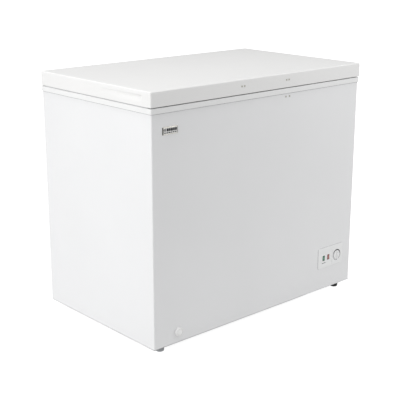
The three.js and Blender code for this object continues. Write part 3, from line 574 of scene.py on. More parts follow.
def cabinet_skin():
    """The bent wrapper sheet, open behind the control fascia and behind the side grille."""
    low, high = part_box("cabinet_wrapper")
    fascia_low, fascia_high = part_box("control_fascia")
    grille_low, grille_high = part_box("side_grille")
    fascia_lap, grille_lap = 12 * MM, 6 * MM  # how far each covers the sheet round its hole
    front_hole = (fascia_low.x + fascia_lap, fascia_high.x - fascia_lap,
                  fascia_low.z + fascia_lap, fascia_high.z - fascia_lap)
    side_hole = (grille_low.y + grille_lap, grille_high.y - grille_lap,
                 grille_low.z + grille_lap, grille_high.z - grille_lap)
    r = CABINET_CORNER
    steps = 8
    arc = [math.pi / 2 * i / steps for i in range(steps + 1)]
    left = [(low.x, high.y, -1, 0)]
    left += [(low.x + r - r * math.cos(a), low.y + r - r * math.sin(a), -math.cos(a), -math.sin(a))
             for a in arc]
    middle = [(x, low.y, 0, -1) for x in front_hole[:2]]
    right = [(high.x - r + r * math.sin(a), low.y + r - r * math.cos(a), math.sin(a), -math.cos(a))
             for a in arc]
    right += [(high.x, y, 1, 0) for y in side_hole[:2]] + [(high.x, high.y, 1, 0)]
    stations = left + middle + right
    heights = sorted({low.z, *front_hole[2:], *side_hole[2:], high.z})

    def is_hole(i, k):
        a, b = stations[i], stations[i + 1]
        x, y = (a[0] + b[0]) / 2, (a[1] + b[1]) / 2
        z = (heights[k] + heights[k + 1]) / 2
        in_front = (y < low.y + 1e-6 and front_hole[0] < x < front_hole[1]
                    and front_hole[2] < z < front_hole[3])
        in_side = (x > high.x - 1e-6 and side_hole[0] < y < side_hole[1]
                   and side_hole[2] < z < side_hole[3])
        return in_front or in_side

    columns = len(stations)
    verts = []
    for inset in (0, SHEET):
        for z in heights:
            verts += [Vector((x - nx * inset, y - ny * inset, z)) for x, y, nx, ny in stations]
    layer = columns * len(heights)
    rows = range(len(heights) - 1)
    solid = {(i, k) for i in range(columns - 1) for k in rows if not is_hole(i, k)}
    at = lambda i, k, inner: k * columns + i + layer * inner
    faces = []
    for i, k in sorted(solid):
        faces.append((at(i, k, 0), at(i + 1, k, 0), at(i + 1, k + 1, 0), at(i, k + 1, 0)))
        faces.append((at(i, k, 1), at(i, k + 1, 1), at(i + 1, k + 1, 1), at(i + 1, k, 1)))
        for (di, dk), (a, b) in {
            (-1, 0): ((0, 0), (0, 1)),
            (1, 0): ((1, 1), (1, 0)),
            (0, -1): ((1, 0), (0, 0)),
            (0, 1): ((0, 1), (1, 1)),
        }.items():
            if (i + di, k + dk) not in solid:
                p, q = (i + a[0], k + a[1]), (i + b[0], k + b[1])
                faces.append((at(*p, 0), at(*q, 0), at(*q, 1), at(*p, 1)))
    add_piece("Cabinet_Skin", verts, faces, white_paint, "cabinet", ["cabinet_wrapper"])


def top_trim():
    """The plastic collar: a soft outer band, the gasket's landing and the basket's ledge."""
    trim, skin = NodeBox("top_trim"), NodeBox("cabinet_wrapper")
    place = upright(trim)
    wall_gap = 0.3 * MM
    to_skin = trim.half_x - skin.half_x - wall_gap
    to_opening = trim.half_x - NodeBox("inner_liner").half_x + 3.3 * MM
    inward = to_opening - 12 * MM  # the ledge is 12 mm wide
    drop, sheet, soft = 7.5 * MM, 2.2 * MM, 0.8 * MM
    top = trim.high.z
    bottom = top - TRIM_BAND
    leg_end = top - 24.5 * MM
    band = [(-to_skin, bottom), (-0.6 * MM, bottom), (-0.15 * MM, bottom + 0.15 * MM),
            (0, bottom + 0.6 * MM)]
    band += [(o, top + d) for o, d in soft_edge(1.6 * MM)]
    inner = [(-inward + soft, top), (-inward, top - soft), (-inward, top - drop),
             (-to_opening + soft, top - drop), (-to_opening, top - drop - soft),
             (-to_opening, leg_end), (-to_opening + sheet, leg_end),
             (-to_opening + sheet, top - drop - sheet), (-inward + sheet, top - drop - sheet),
             (-inward + sheet, top - sheet), (-to_skin, top - sheet)]
    rings = [(trim.half_x + o, trim.half_y + o, max(5 * MM + o, 2.5 * MM), z)
             for o, z in band + inner]
    Build().loops(rect_rings(place, rings, 8), closed=True).add(
        "Top_Trim", trim_plastic, "cabinet", ["top_trim"])

    # A grey bead under the collar, a dark piece put where the overhang's shade falls: a painted
    # shadow line between the collar and the sheet.
    bead = mm((0.02, 0.6), (0.9, 0.6), (0.9, -1.3), (0.6, -1.8), (0.02, -2.0))
    rings = [(skin.half_x + o, skin.half_y + o, CABINET_CORNER + o, bottom + d) for o, d in bead]
    Build().loops(rect_rings(place, rings, 8), closed=True).add("Trim_Shadow_Bead", seal_and_shadow_bead, "cabinet")


def piece_name(node):
    return "".join(word.capitalize() for word in node.split("_"))


def feet():
    """Moulded feet: grey and straight on the left, black and tapered on the right."""
    for name in ("foot_front_left", "foot_rear_left", "foot_front_right", "foot_rear_right"):
        box = NodeBox(name)
        r, top = box.half_x, box.high.z
        if name.endswith("left"):
            surface = grey_plastic
            tread = mm((-2.6, 0), (-1.6, 0.5), (-0.5, 1.6), (0, 3))
            for z in (8, 13):  # two shallow grooves
                tread += mm((0, z), (-0.5, z + 0.3), (-0.5, z + 1.1), (0, z + 1.4))
            collar = []
        else:
            surface = black_plastic
            tread = mm((-3.8, 0), (-3, 0.5), (-2, 3))
            collar = mm((-0.4, -5.6), (0, -4.8))
        collar += mm((0, -0.4), (-0.4, 0))
        profile = [(0, 0)] + [(r + o, h) for o, h in tread]
        profile += [(r + o, top + d) for o, d in collar] + [(0, top)]
        Build().loops(round_rings(upright(box), profile, 40)).add(
            piece_name(name), surface, "cabinet", [name])


def plugs():
    """Push-in plugs with a domed flange and a small dimple."""
    names = [f"handle_plug_{i}" for i in range(1, 5)] + ["keeper_plug_1", "keeper_plug_2"]
    for name in names:
        box = NodeBox(name)
        r, depth = box.half_x, box.high.y - box.low.y
        stem, flange = 2 * MM, depth - 0.8 * MM
        profile = [(0, 0), (stem, 0), (stem, flange), (r, flange)]
        profile += [(r + o, depth + d) for o, d in mm((0, -0.6), (-0.3, -0.2), (-0.9, 0))]
        profile += [(1.2 * MM, depth), (0.7 * MM, depth - 0.35 * MM), (0, depth - 0.35 * MM)]
        Build().loops(round_rings(facing_front(box, box.high.y), profile, 28)).add(
            piece_name(name), beige_plastic, "lid" if name.startswith("handle") else "cabinet",
            [name])


# ---- Front fittings -------------------------------------------------------------------------

WINDOW = (309 * MM, 371 * MM, 114 * MM, 164 * MM)  # left, right, bottom and top


def badge():
    """A plated badge with a bevelled frame, a snowflake and plain bars."""
    box = NodeBox("name_badge")
    depth = box.high.y - box.low.y
    place = facing_front(box, box.high.y)
    bevel = 2.4 * MM
    sink = 0.8 * MM  # from the frame's crest to the seat of its face

    def ring(inset, corner, height):
        return box.half_x - inset, box.half_z - inset, corner * MM, height

    Build().loops(rect_rings(place, [
        ring(0, 0.8, 0), ring(0, 0.8, 0.4 * MM), ring(bevel, 0.5, depth),
        ring(bevel + 0.5 * MM, 0.4, depth), ring(bevel + 0.9 * MM, 0.3, depth - sink),
    ], 4)).add("Badge_Frame", badge_frame, "cabinet", ["name_badge"])

    inset = bevel + 1.1 * MM
    base = depth - sink + 0.02 * MM
    ink = base + 0.2 * MM
    Build().loops(rect_rings(place, [
        ring(inset, 0.3, base), ring(inset, 0.3, base + 0.15 * MM),
        ring(inset + 0.15 * MM, 0.2, ink),
    ], 3)).add("Badge_Face", badge_face, "cabinet")

    marks = Build()

    def bar(u, v, long, tall, angle=0.0):
        turn = Matrix.Rotation(angle, 2)
        ring = [turn @ Vector(p) for p in rounded_loop(long / 2, tall / 2, tall / 5, 2)]
        marks.loops([
            [place(u + p.x * s, v + p.y * s, ink + h) for p in ring]
            for s, h in ((1, 0), (1, 0.12 * MM), (0.97, 0.16 * MM))
        ])

    # The snowflake: three crossing bars, with two twigs near each end.
    left = -(box.half_x - inset)
    flake_u, flake_v = left + 5.6 * MM, 2.8 * MM
    reach, twig, lean = 3.2 * MM, 0.9 * MM, 0.85
    for k in range(3):
        bar(flake_u, flake_v, 9.5 * MM, 1.1 * MM, k * math.pi / 3)
    for k in range(6):
        angle = k * math.pi / 3
        for tip in (angle - lean, angle + lean):
            bar(flake_u + reach * math.cos(angle) + twig * math.cos(tip),
                flake_v + reach * math.sin(angle) + twig * math.sin(tip),
                2.2 * MM, 0.8 * MM, tip)
    rows = [
        # height of the row's middle, bar height, first bar from the left, bar lengths, in mm
        (2.8, 9.0, 11.8, [7.7, 6.2, 8.2, 6.7, 7.2]),
        (-5.6, 3.0, 2.0, [6.7, 5.2, 7.7, 4.2, 6.2, 6.7]),
    ]
    for v, tall, from_left, lengths in rows:
        room = -2 * left - (from_left + 0.8) * MM
        gap = (room - sum(lengths) * MM) / len(lengths)
        u = left + from_left * MM
        for long in lengths:
            bar(u + long * MM / 2, v * MM, long * MM, tall * MM)
            u += long * MM + gap
    marks.add("Badge_Marks", print_ink, "cabinet")


def control_fascia():
    """The control plate: a soft-edged frame round a sunk window. Gives the window's floor."""
    box = NodeBox("control_fascia")
    skin_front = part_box("cabinet_wrapper")[0].y
    place = facing_front(box, skin_front)
    thickness = skin_front - box.low.y
    corner = 6 * MM
    left, right, bottom, top = WINDOW
    window_mid = ((left - box.mid_x + right - box.mid_x) / 2,
                  (bottom - box.mid_z + top - box.mid_z) / 2)
    window_half = ((right - left) / 2, (top - bottom) / 2)
    floor = thickness - 1.1 * MM

    def plate(offset, height):
        return [place(u, v, height) for u, v in
                rounded_loop(box.half_x + offset, box.half_z + offset, corner + offset, 8)]

    def window(offset, radius, height):
        return [place(window_mid[0] + u, window_mid[1] + v, height) for u, v in
                rounded_loop(window_half[0] + offset, window_half[1] + offset, radius * MM, 8)]

    loops = [plate(0, 0.1 * MM)] + [plate(o, thickness + d) for o, d in soft_edge(0.7 * MM)]
    loops += [window(0.2 * MM, 3, thickness), window(0, 2.6, thickness - 0.15 * MM),
              window(-0.1 * MM, 2.5, floor)]
    Build().loops(loops).add("Control_Fascia", fascia_plastic, "cabinet", ["control_fascia"])
    seal = mm((-0.5, 0), (0.9, 0), (0.8, 0.35), (-0.5, 0.5))
    Build().loops([plate(o, h) for o, h in seal], closed=True).add(
        "Fascia_Seal", seal_and_shadow_bead, "cabinet")
    return box, place, floor


def lamps_and_prints():
    """The control plate with its two lamps, their rims and the printed marks under them."""
    fascia, place, floor = control_fascia()
    seats = Build()
    for name, piece, slot, dark, light in (
        ("lamp_green", "LampGreen", "green_lens", (0.012, 0.085, 0.045), (0.12, 0.33, 0.22)),
        ("lamp_red", "LampRed", "red_lens", (0.17, 0.022, 0.02), (0.42, 0.16, 0.14)),
    ):
        box = NodeBox(name)
        middle = (box.low + box.high) / 2
        lens = make_lens(name + "_lens", slot, (middle.x, box.low.y, middle.z), dark, light)
        at = lambda a, b, h: place(middle.x - fascia.mid_x + a, middle.z - fascia.mid_z + b, h)
        rings = [(box.half_x, box.half_z, 1.4 * MM, -8 * MM)]
        rings += [(box.half_x + o, box.half_z + o, 1.4 * MM + o, floor + 0.45 * MM + d)
                  for o, d in soft_edge(0.45 * MM)]
        Build().loops(rect_rings(at, rings, 5)).add(piece, lens, "cabinet", [name])
        rim = mm((0.1, 0.05), (0.1, 0.3), (0.45, 0.3), (0.6, 0.05))
        seats.loops(rect_rings(at, [
            (box.half_x + o, box.half_z + o, 1.6 * MM, floor + h) for o, h in rim
        ], 5), closed=True)
    seats.add("Lamp_Rims", fascia_plastic, "cabinet")

    green = NodeBox("lamp_green")
    u, v = green.mid_x - fascia.mid_x, green.low.z - fascia.mid_z - 8.5 * MM
    marks = Build()
    pitch, first, tall = 6.2, -5, 1.3 * MM
    for k, half in enumerate((2.6, 1.6, 3.0)):
        at = lambda a, b, h: place(u + (pitch * k + first) * MM + a, v + b, h)
        marks.loops(rect_rings(
            at, [(half * MM, tall, min(half * MM, tall) / 2, floor + h) for h in (0, 0.04 * MM)],
            3))
    marks.add("Lamp_Marks", print_ink, "cabinet")


def thermostat_dial():
    """A low dial with a rounded grip bar, inside a printed scale that widens as it rises."""
    box = NodeBox("thermostat_knob")
    radius = box.half_z
    depth = box.high.y - box.low.y
    place = facing_front(box, box.high.y)
    disc = 2 * MM
    profile = [(0, 0), (radius, 0), (radius, disc - 0.8 * MM)]
    profile += [(radius + o, disc + d) for o, d in soft_edge(0.8 * MM)]
    profile += [(radius - 2.2 * MM, disc), (radius - 2.8 * MM, disc - 0.35 * MM),
                (0, disc - 0.35 * MM)]
    knob = Build().loops(round_rings(place, profile, 64))
    half_u, half_v = 3.2 * MM, radius - 1.4 * MM
    grip = [(half_u + 0.6 * MM, half_v, 2 * MM, disc - 0.5 * MM),
            (half_u + 0.1 * MM, half_v - 0.1 * MM, 2 * MM, disc + 0.2 * MM)]
    grip += [(half_u - 0.4 * MM + o, half_v - 0.5 * MM + o, 1.8 * MM + o / 2, depth + d)
             for o, d in soft_edge(1.1 * MM)]
    knob.loops(rect_rings(place, grip, 6))
    knob.add("Thermostat_Dial", white_plastic, "dial", ["thermostat_knob"])

    near_rim = radius * 0.62
    Build().loops([
        [place(u, near_rim + v, depth + h)
         for u, v in rounded_loop(0.5 * MM, 3 * MM, 0.4 * MM, 3)]
        for h in (-0.05 * MM, 0)
    ]).add("Dial_Pointer", print_ink, "dial")

    # The printed scale: narrow at both ends and broad over the top, paler where it starts.
    flat = facing_front(box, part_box("control_fascia")[0].y)
    middle = 19.2 * MM
    start, end, off = math.radians(265), math.radians(-62), math.radians(275)
    ink = 0.05 * MM
    steps = 72
    for name, surface, first, last in (
        ("Scale_Fine", pale_ink, 0.0, 0.34), ("Scale_Bold", print_ink, 0.34, 1.0),
    ):
        loops = []
        for i in range(steps + 1):
            t = first + (last - first) * i / steps
            angle = start + (end - start) * t
            rise = math.sin(math.pi * min(max(t - 0.12, 0.0) / 0.86, 1.0))
            width = (0.6 + 1.5 * rise**1.3) * MM
            loops.append([
                flat((middle + w) * math.cos(angle), (middle + w) * math.sin(angle), h)
                for w, h in ((-width, 0), (width, 0), (width, ink), (-width, ink))
            ])
        Build().loops(loops).add(name, surface, "cabinet")
    at_off = lambda u, v, h: flat(middle * math.cos(off) + u, middle * math.sin(off) + v, h)
    Build().loops(round_rings(at_off, [(1.5 * MM, 0), (1.5 * MM, ink)], 16)).add(
        "Scale_Off_Dot", print_ink, "cabinet")


def drain_cap():
    """A round push-on cap with a soft rim, a ring groove in its face and a ribbed edge."""
    box = NodeBox("drain_cap")
    radius = box.half_x
    depth = box.high.y - box.low.y
    place = facing_front(box, box.high.y)
    sides, rib = 96, 0.35 * MM
    groove = 11.5 * MM
    profile = [(radius, 0, 0), (radius, 0.4 * MM, 1), (radius, depth - 3.4 * MM, 1)]
    profile += [(radius + o, depth + d, 0) for o, d in soft_edge(3 * MM, 6)]
    profile += [(groove + o, depth + d, 0) for o, d in mm(
        (1.2, 0), (0.4, -0.5), (0, -1.6), (-0.9, -1.6), (-1.3, -0.7), (-2.2, -0.2))]
    profile += [(0.01 * MM, depth, 0)]

    def ring(radius, height, ribbed):
        """A ring of points, where two in every four may stand back between the ribs."""
        points = []
        for k in range(sides):
            r = radius - ribbed * (k % 4 < 2) * rib
            angle = 2 * math.pi * k / sides
            points.append(place(r * math.cos(angle), r * math.sin(angle), height))
        return points

    Build().loops([ring(*row) for row in profile]).add(
        "Drain_Cap", cap_plastic, "drain_cap", ["drain_cap"])


# ---- Lid ------------------------------------------------------------------------------------

PAN_INSET = (36 * MM, 35 * MM)  # from the inner panel's rim to its pan
SCOOP_SPAN = (-252 * MM, -40 * MM)  # front and rear end, from the cabinet's middle
SCOOP_HEIGHT = (-14 * MM, -38 * MM)  # top and bottom edge, from the lid's top
LID_CORNER = 4.5 * MM
LID_EDGE = 4 * MM


def lid_skin():
    """The folded lid sheet, rounded along its top edges, with a pressed scoop in each end."""
    box = NodeBox("lid_outer")
    low, high, half_x, half_y, mid_y = box.low, box.high, box.half_x, box.half_y, box.mid_y
    cabinet_mid = NodeBox("cabinet_wrapper").mid_y
    front, rear = (cabinet_mid + y for y in SCOOP_SPAN)
    top, bottom = (high.z + z for z in SCOOP_HEIGHT)
    deepest = 9 * MM
    lip = 1.6 * MM  # height of the step under the scoop's top edge
    end_run = 9 * MM  # length of the slope at its front end

    def scoop_depth(y, z):
        """How far the end face is pressed in at a point."""
        if not (front <= y <= rear and bottom <= z <= top):
            return 0.0
        along = (rear - y) / (rear - front)
        down = (z - bottom) / (top - bottom)
        at_lip = min((top - z) / lip, 1.0)
        at_front = min((y - front) / end_run, 1.0)
        ease = lambda t: t * t * (3 - 2 * t)
        return deepest * along * down**2 * ease(at_lip) * ease(at_front)

    steps = 24
    y_grid = [front + end_run * k / 6 for k in range(7)]
    y_grid += [front + end_run + (rear - front - end_run) * k / steps for k in range(1, steps + 1)]
    z_grid = [bottom + (top - lip - bottom) * k / 10 for k in range(11)]
    z_grid += [top - lip + lip * k / 5 for k in range(1, 6)]

    def loop(out, z, pressed):
        corner = max(LID_CORNER + out, 0.6 * MM)
        points = rounded_loop(half_x + out, half_y + out, corner, 8)
        quarter = len(points) // 4
        rows = []
        for q in range(4):
            rows += points[q * quarter:(q + 1) * quarter]
            if q == 1:
                rows += [(-half_x - out, y - mid_y) for y in reversed(y_grid)]
            if q == 3:
                rows += [(half_x + out, y - mid_y) for y in y_grid]
        placed = []
        for u, v in rows:
            press = scoop_depth(v + mid_y, z) if pressed and abs(u) > half_x + out - 1e-6 else 0.0
            placed.append(Vector((u - math.copysign(press, u), v + mid_y, z)))
        return placed

    hem = 0.6 * MM
    outer = [(-hem, low.z, False), (-hem * 0.3, low.z + hem * 0.3, False), (0, low.z + hem, False)]
    outer += [(0, z, True) for z in z_grid]
    outer += [(o, high.z + d, False) for o, d in soft_edge(LID_EDGE, 8)]
    inner = [(o - SHEET if o == 0 else o - SHEET * 0.9, min(z, high.z - SHEET), pressed)
             for o, z, pressed in outer[2:]]
    loops = [loop(*row) for row in outer]
    back = [loop(*row) for row in inner]
    back[0] = loop(-SHEET - 0.2 * MM, low.z, False)
    shell = Build()
    shell.loops(loops, cap_first=False)
    shell.loops(back, cap_first=False)
    count = len(loops[0])
    second = len(loops) * count
    for i in range(count):
        j = (i + 1) % count
        shell.faces.append((i, second + i, second + j, j))
    shell.add("Lid_Skin", lid_paint, "lid", ["lid_outer"])


def lid_liner():
    """The vacuum-formed inner panel: a shallow pan with two raised beads round its middle."""
    box = NodeBox("lid_inner")
    low, high = box.low, box.high
    rim_low = high.z - SHEET
    pan_x, pan_y = box.half_x - PAN_INSET[0], box.half_y - PAN_INSET[1]
    face, back = low.z + 1.05 * MM, low.z + 1.25 * MM
    bead = 0.95 * MM

    def ring(inset, radius, z):
        """A ring of the pan, from its inset and corner radius in millimetres and its height."""
        return (pan_x - inset * MM, pan_y - inset * MM, radius * MM, z)

    rings = [ring(20, 8, back), ring(1.6, 12, back), ring(1.2, 12, back + 0.4 * MM),
             ring(1.2, 12, high.z), (box.half_x, box.half_y, 6 * MM, high.z),
             (box.half_x, box.half_y, 6 * MM, rim_low), ring(-0.6, 14, rim_low),
             ring(0, 14, rim_low - 0.6 * MM)]
    rings += [(pan_x - 0.4 * MM + o, pan_y - 0.4 * MM + o, 13 * MM + o, low.z - d)
              for o, d in soft_edge(1.6 * MM)]
    rings += [ring(6, 11, low.z), ring(7, 10, face)]
    for inset in (26, 40):
        rings += [ring(inset, 12, face), ring(inset + 1.4, 11, face - bead),
                  ring(inset + 4.4, 9, face - bead), ring(inset + 5.8, 8, face)]
    Build().loops(rect_rings(upright(box), rings, 6)).add(
        "Lid_Inner_Panel", inner_plastic, "lid", ["lid_inner"])


def lid_gasket():
    """A hollow bellows seal that runs round under the lid."""
    box = NodeBox("lid_gasket")
    low, high = box.low, box.high
    width = 16 * MM
    tall = high.z - low.z
    end_lip = 7 * MM  # the seal stands further out at the lid's two ends
    # The section: millimetres in from the outer face, and the share of the height.
    wall = [(1, 0), (0.3, 0.12), (0, 0.28), (1.4, 0.5), (0, 0.72), (0.3, 0.9), (1, 1)]
    profile = [(-inset * MM, t) for inset, t in wall]
    profile += [(inset * MM - width, t) for inset, t in reversed(wall)]
    profile += [(-10 * MM, 0), (-9 * MM, 0.1), (-8 * MM, 0.1), (-7 * MM, 0)]
    rings = [
        (box.half_x + o + (end_lip if o > -width / 4 else 0), box.half_y + o, 17 * MM + o,
         low.z + tall * t)
        for o, t in profile
    ]
    Build().loops(rect_rings(upright(box), rings, 6), closed=True).add(
        "Lid_Gasket", gasket_rubber, "lid", ["lid_gasket"])


# ---- Rear, side and hinges ------------------------------------------------------------------

# The two columns of slots in the rear cover.
SLOT_LEFTS = (255 * MM, 365 * MM)
SLOT_BOTTOMS = [(140 + 20 * row) * MM for row in range(7)]
SLOT_WIDTH, SLOT_HEIGHT = 85 * MM, 7 * MM
LEAF_FACE = 2.3 * MM  # a hinge leaf's outer face, from the sheet behind it


def hex_screw(build, place, u, v, base=0.0):
    """A hexagon head on a washer flange, added to a piece."""
    at = lambda a, b, h: place(u + a, v + b, base + h)
    build.loops(round_rings(at, mm((3.6, 0), (3.6, 0.4), (3.0, 0.8)), 24))
    build.loops(round_rings(
        at, mm((2.5, 0.7), (2.5, 2.4), (2.2, 2.9), (1.2, 2.9), (1.0, 2.6)), 6))


def side_grille():
    """A framed grille of sloping blades over the compressor bay's side opening."""
    box = NodeBox("side_grille")
    half_u, half_v = box.half_y, box.half_z
    thick = box.high.x - box.low.x
    place = facing_right(box)
    border, soft = 9 * MM, 0.8 * MM
    inner_u, inner_v = half_u - border, half_v - border
    step = 0.4 * MM
    grille = Build()
    rings = [(half_u, half_v, 5 * MM, 0), (half_u, half_v, 5 * MM, thick - soft)]
    rings += [(half_u + o, half_v + o, 5 * MM + o, thick + d) for o, d in soft_edge(soft)]
    rings += [(inner_u, inner_v, 3 * MM, thick),
              (inner_u - step, inner_v - step, 2.8 * MM, thick - 0.5 * MM),
              (inner_u - step, inner_v - step, 2.8 * MM, 0)]
    grille.loops(rect_rings(place, rings, 6), closed=True)
    blades = 9
    section = [(-4.2 * MM, thick - 0.4 * MM), (-3.2 * MM, thick - 0.1 * MM),
               (4.8 * MM, -3.6 * MM), (4.4 * MM, -4.4 * MM), (-3.8 * MM, thick - 1.2 * MM)]
    for k in range(blades):
        v = -inner_v + 2 * inner_v * (k + 0.5) / blades
        grille.loops([[place(u, v + dv, h) for dv, h in section] for u in (-inner_u, inner_u)])
    post = mm((-0.9, -3), (0.9, -3), (0.9, 0.4), (-0.9, 0.4))
    for u in (-inner_u / 3, inner_u / 3):
        grille.loops([[place(u + du, v, h) for du, h in post] for v in (-inner_v, inner_v)])
    screw_inset = 4.6 * MM
    for su in (-1, 1):
        for sv in (-1, 1):
            hex_screw(grille, place, su * (half_u - screw_inset), sv * (half_v - screw_inset),
                      thick - 1.1 * MM)
    grille.add("Side_Grille", white_plastic, "cabinet", ["side_grille"])


def rear_fittings():
    """Screws round the rear panel and its cover, and a hood pressed out over each slot."""
    cover, panel = NodeBox("rear_cover"), NodeBox("rear_panel")
    place = facing_rear(cover.mid_x, cover.mid_z, cover.high.y)
    reach_u, reach_v = cover.half_x - 4.5 * MM, cover.half_z - 4.5 * MM
    screws = Build()
    for u in (-reach_u, 0, reach_u):
        for v in (-reach_v, reach_v):
            hex_screw(screws, place, u, v)
    flat = facing_rear(0, 0, panel.high.y)
    end, edge, count = 60 * MM, 7 * MM, 6
    for k in range(count):
        z = panel.low.z + end + (panel.high.z - panel.low.z - 2 * end) * k / (count - 1)
        hex_screw(screws, flat, -(panel.low.x + edge), z)
        if z > cover.high.z + 20 * MM:
            hex_screw(screws, flat, -(panel.high.x - edge), z)
    screws.add("Rear_Screws", galvanised, "cabinet")

    hoods = Build()
    skin = cover.high.y - 0.05 * MM
    half = SLOT_WIDTH / 2 + 1 * MM
    arch = mm((0.9, 0), (0.9, 0.6), (-1.4, 3.2), (-4.6, 4.3), (-4.9, 3.9), (-1.8, 2.6), (0, 0))
    # Each hood is flattened to a fifth of its height at its two ends.
    ends = [(-half, 0.2), (-half + 3 * MM, 1.0), (half - 3 * MM, 1.0), (half, 0.2)]
    for left in SLOT_LEFTS:
        centre = left + SLOT_WIDTH / 2
        for low_z in SLOT_BOTTOMS:
            z = low_z + SLOT_HEIGHT
            hoods.loops([
                [Vector((centre + u, skin + h * lift, z + dv)) for dv, h in arch]
                for u, lift in ends
            ])
    hoods.add("Rear_Louvres", galvanised, "cabinet")


def hinge_fittings():
    """Screws in both leaves of each hinge, its torsion spring and the heads of its pin."""
    for side in ("left", "right"):
        leaf, pin = NodeBox(f"hinge_cabinet_leaf_{side}"), NodeBox(f"hinge_pin_{side}")
        lid_leaf, spring = NodeBox(f"hinge_lid_leaf_{side}"), NodeBox(f"hinge_spring_{side}")
        for body, sheet, foot, heights in (
            ("Cabinet", "cabinet_wrapper", leaf.low.z, (14 * MM, 62 * MM)),
            ("Lid", "lid_outer", lid_leaf.high.z, (-13 * MM,)),
        ):
            place = facing_rear(leaf.mid_x, foot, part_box(sheet)[1].y + LEAF_FACE)
            screws = Build()
            for u in (-20 * MM, 20 * MM):
                for v in heights:
                    hex_screw(screws, place, u, v)
            screws.add(f"Hinge_{body}_Screws_{side}", galvanised, body.lower())

        wire = 0.95 * MM
        radius = spring.half_z - wire - 0.05 * MM
        turns, steps = 8, 20
        start, end = spring.low.x + wire, spring.high.x - wire
        path = [
            (start + (end - start) * i / (turns * steps),
             pin.mid_y + radius * math.cos(2 * math.pi * i / steps),
             pin.mid_z + radius * math.sin(2 * math.pi * i / steps))
            for i in range(turns * steps + 1)
        ]
        Build().loops(tube_loops(path, wire, 8)).add(
            f"Hinge_Spring_{side}", galvanised, "cabinet", [f"hinge_spring_{side}"])

        heads = Build()
        for x, sign in ((pin.low.x, 1), (pin.high.x, -1)):
            at = lambda a, b, h: Vector((x + sign * h, pin.mid_y + a, pin.mid_z + b))
            heads.loops(round_rings(
                at, mm((3.4, 0.9), (4.4, 0.9), (4.4, 0.3), (3.9, 0.02)), 24))
        heads.add(f"Hinge_Pin_Heads_{side}", galvanised, "cabinet")


# ---- Inside ---------------------------------------------------------------------------------

BASKET_HALF_DEPTH = 214 * MM  # without its hooks


def wire_basket():
    """The hanging basket, welded up from coated wires, with four hooks over the ledges."""
    box = NodeBox("wire_basket")
    centre_x, centre_y, half_u = box.mid_x, box.mid_y, box.half_x
    half_v = BASKET_HALF_DEPTH
    rim = box.high.z - 11 * MM
    thin, stout = 1.5 * MM, 2.6 * MM
    floor = box.low.z + thin
    wall = 5.2 * MM  # from the outside to the middle of the upright wires
    end = 24 * MM  # from a corner to the first upright
    basket = Build()

    def band(z, radius, inset):
        points = [
            (centre_x + u, centre_y + v, z)
            for u, v in rounded_loop(half_u - inset, half_v - inset, 18 * MM, 6)
        ]
        basket.loops(tube_loops(points, radius, 8, cyclic=True), closed=True)

    def wire(corners, bend, radius, sides):
        basket.loops(tube_loops(rounded_path(corners, bend), radius, sides))

    band(rim, stout, stout)
    for drop in (62 * MM, 124 * MM):
        band(rim - drop, 1.9 * MM, 3.4 * MM)
    across, along = 8, 15
    for k in range(across + 1):
        x = centre_x - half_u + end + (2 * half_u - 2 * end) * k / across
        front, back = centre_y - half_v + wall, centre_y + half_v - wall
        wire([(x, front, rim), (x, front, floor), (x, back, floor), (x, back, rim)],
             16 * MM, thin, 6)
    for k in range(along + 1):
        y = centre_y - half_v + end + (2 * half_v - 2 * end) * k / along
        left, right, z = centre_x - half_u + wall, centre_x + half_u - wall, floor + 2 * thin
        wire([(left, y, rim), (left, y, z), (right, y, z), (right, y, rim)], 16 * MM, thin, 6)
    hook_top = box.high.z - stout
    for x in (centre_x - 90 * MM, centre_x + 90 * MM):
        for side in (-1, 1):
            shank = centre_y + side * (half_v - stout) - side * 3 * MM
            tip = centre_y + side * (box.half_y - stout)
            wire([(x, shank, rim - 60 * MM), (x, shank, hook_top), (x, tip, hook_top)],
                 5 * MM, 2.4 * MM, 8)
    for side in (-1, 1):
        y = centre_y + side * (half_v - stout)
        wire([(centre_x + u, y, rim + h) for u, h in mm((-45, 0), (-38, 8), (38, 8), (45, 0))],
             6 * MM, stout, 8)
    basket.add("Wire_Basket", wire_coat, "basket", ["wire_basket"])


def drain_stopper():
    """A turned stopper with a broad soft flange and a waisted grip."""
    box = NodeBox("drain_stopper")
    low, high, r = box.low.z, box.high.z, box.half_x
    base = high - 12 * MM
    profile = [(0, low), (5 * MM, low), (6 * MM, low + 1.2 * MM), (6.1 * MM, base)]
    profile += [(r + o, base + h) for o, h in mm((-0.6, 0), (0, 0.6), (0, 1.6), (-1.4, 3))]
    profile += [(w, base + h) for w, h in mm((4.2, 3.8), (3, 5.2), (3.1, 8))]
    profile += [(w, high + d) for w, d in mm((4.6, -1.6), (4.4, -0.5), (3.6, 0), (0, 0))]
    Build().loops(round_rings(upright(box), profile, 40)).add(
        "Drain_Stopper", grey_plastic, "drain_stopper", ["drain_stopper"])


# ---- Studio ---------------------------------------------------------------------------------


def stage():
    """A pale floor that runs past the camera's view on every side."""
    floor = bpy.data.objects.new("Studio_Floor", bpy.data.meshes.new("Studio_Floor"))
    reach = 60.0
    floor.data.from_pydata(
        [(-reach, -reach, 0), (reach, -reach, 0), (reach, reach, 0), (-reach, reach, 0)],
        [], [(0, 1, 2, 3)])
    floor.data.materials.append(make_floor().material)
    bpy.context.scene.collection.objects.link(floor)


def softbox(name, location, target, size, power):
    """A soft rectangular lamp that the camera doesn't see."""
    light = bpy.data.lights.new(name, "AREA")
    light.shape = "RECTANGLE"
    light.size, light.size_y = size
    light.energy = power
    obj = bpy.data.objects.new(name, light)
    obj.location = location
    way = Vector(target) - Vector(location)
    obj.rotation_euler = way.to_track_quat("-Z", "Y").to_euler()
    obj.visible_camera = False
    bpy.context.scene.collection.objects.link(obj)


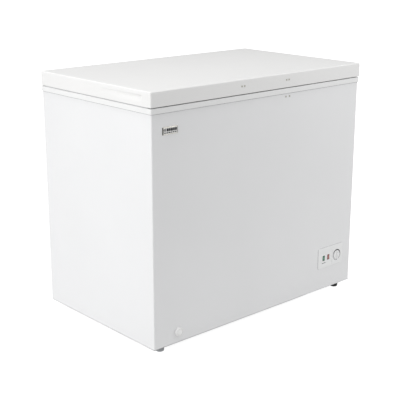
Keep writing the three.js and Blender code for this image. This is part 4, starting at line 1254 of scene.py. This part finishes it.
WORLD_LIGHT = 0.6  # on the freezer; the backdrop itself shows white
SOFTBOXES = [
    # name, place, target, size, watts
    ("left_softbox", (-3.0, 0.1, 1.5), (-0.47, 0, 0.45), (1.8, 1.6), 42),
    ("overhead_softbox", (-0.7, -0.3, 2.8), (0, 0.05, 0.8), (1.6, 1.2), 19),
    ("front_right_softbox", (1.25, -1.5, 1.35), (0.35, -0.3, 0.7), (0.8, 0.8), 10),
]


def lights():
    """Three soft lamps, and a world that the camera sees as a white backdrop."""
    world = bpy.data.worlds.new("studio")
    world.use_nodes = True
    tree = world.node_tree
    background = tree.nodes["Background"]
    background.inputs["Color"].default_value = (1, 1, 1, 1)
    rays = tree.nodes.new("ShaderNodeLightPath").outputs
    strength = tree.nodes.new("ShaderNodeMapRange")
    strength.inputs["To Min"].default_value = WORLD_LIGHT
    strength.inputs["To Max"].default_value = 1.0
    tree.links.new(rays["Is Camera Ray"], strength.inputs["Value"])
    tree.links.new(strength.outputs["Result"], background.inputs["Strength"])
    bpy.context.scene.world = world
    bpy.context.scene.view_settings.view_transform = "Standard"
    for lamp in SOFTBOXES:
        softbox(*lamp)


CAMERA_PLACE = (-2.131, -2.354, 1.279)
CAMERA_AZIMUTH = math.radians(-41.91)
CAMERA_ELEVATION = math.radians(16.12)
CAMERA_ROLL = math.radians(0.07)
LENS_MM = 82.98


def camera():
    """The photograph's viewing angle, as fitted to the freezer's edges."""
    data = bpy.data.cameras.new("camera")
    data.sensor_width = 36
    data.lens = LENS_MM
    data.clip_end = 200
    obj = bpy.data.objects.new("camera", data)
    a, e = CAMERA_AZIMUTH, CAMERA_ELEVATION
    back = Vector((math.sin(a) * math.cos(e), -math.cos(a) * math.cos(e), math.sin(e)))
    side = Vector((math.cos(a), math.sin(a), 0))
    turn = Matrix((side, back.cross(side), back)).transposed()
    turn = turn @ Matrix.Rotation(CAMERA_ROLL, 3, "Z")
    obj.matrix_world = Matrix.Translation(CAMERA_PLACE) @ turn.to_4x4()
    bpy.context.scene.collection.objects.link(obj)
    bpy.context.scene.camera = obj


# ---- The whole scene ------------------------------------------------------------------------

camera()
lights()
stage()
keep_nodes()
cabinet_skin()
top_trim()
feet()
plugs()
badge()
lamps_and_prints()
thermostat_dial()
drain_cap()
lid_skin()
lid_liner()
lid_gasket()
side_grille()
rear_fittings()
hinge_fittings()
wire_basket()
drain_stopper()
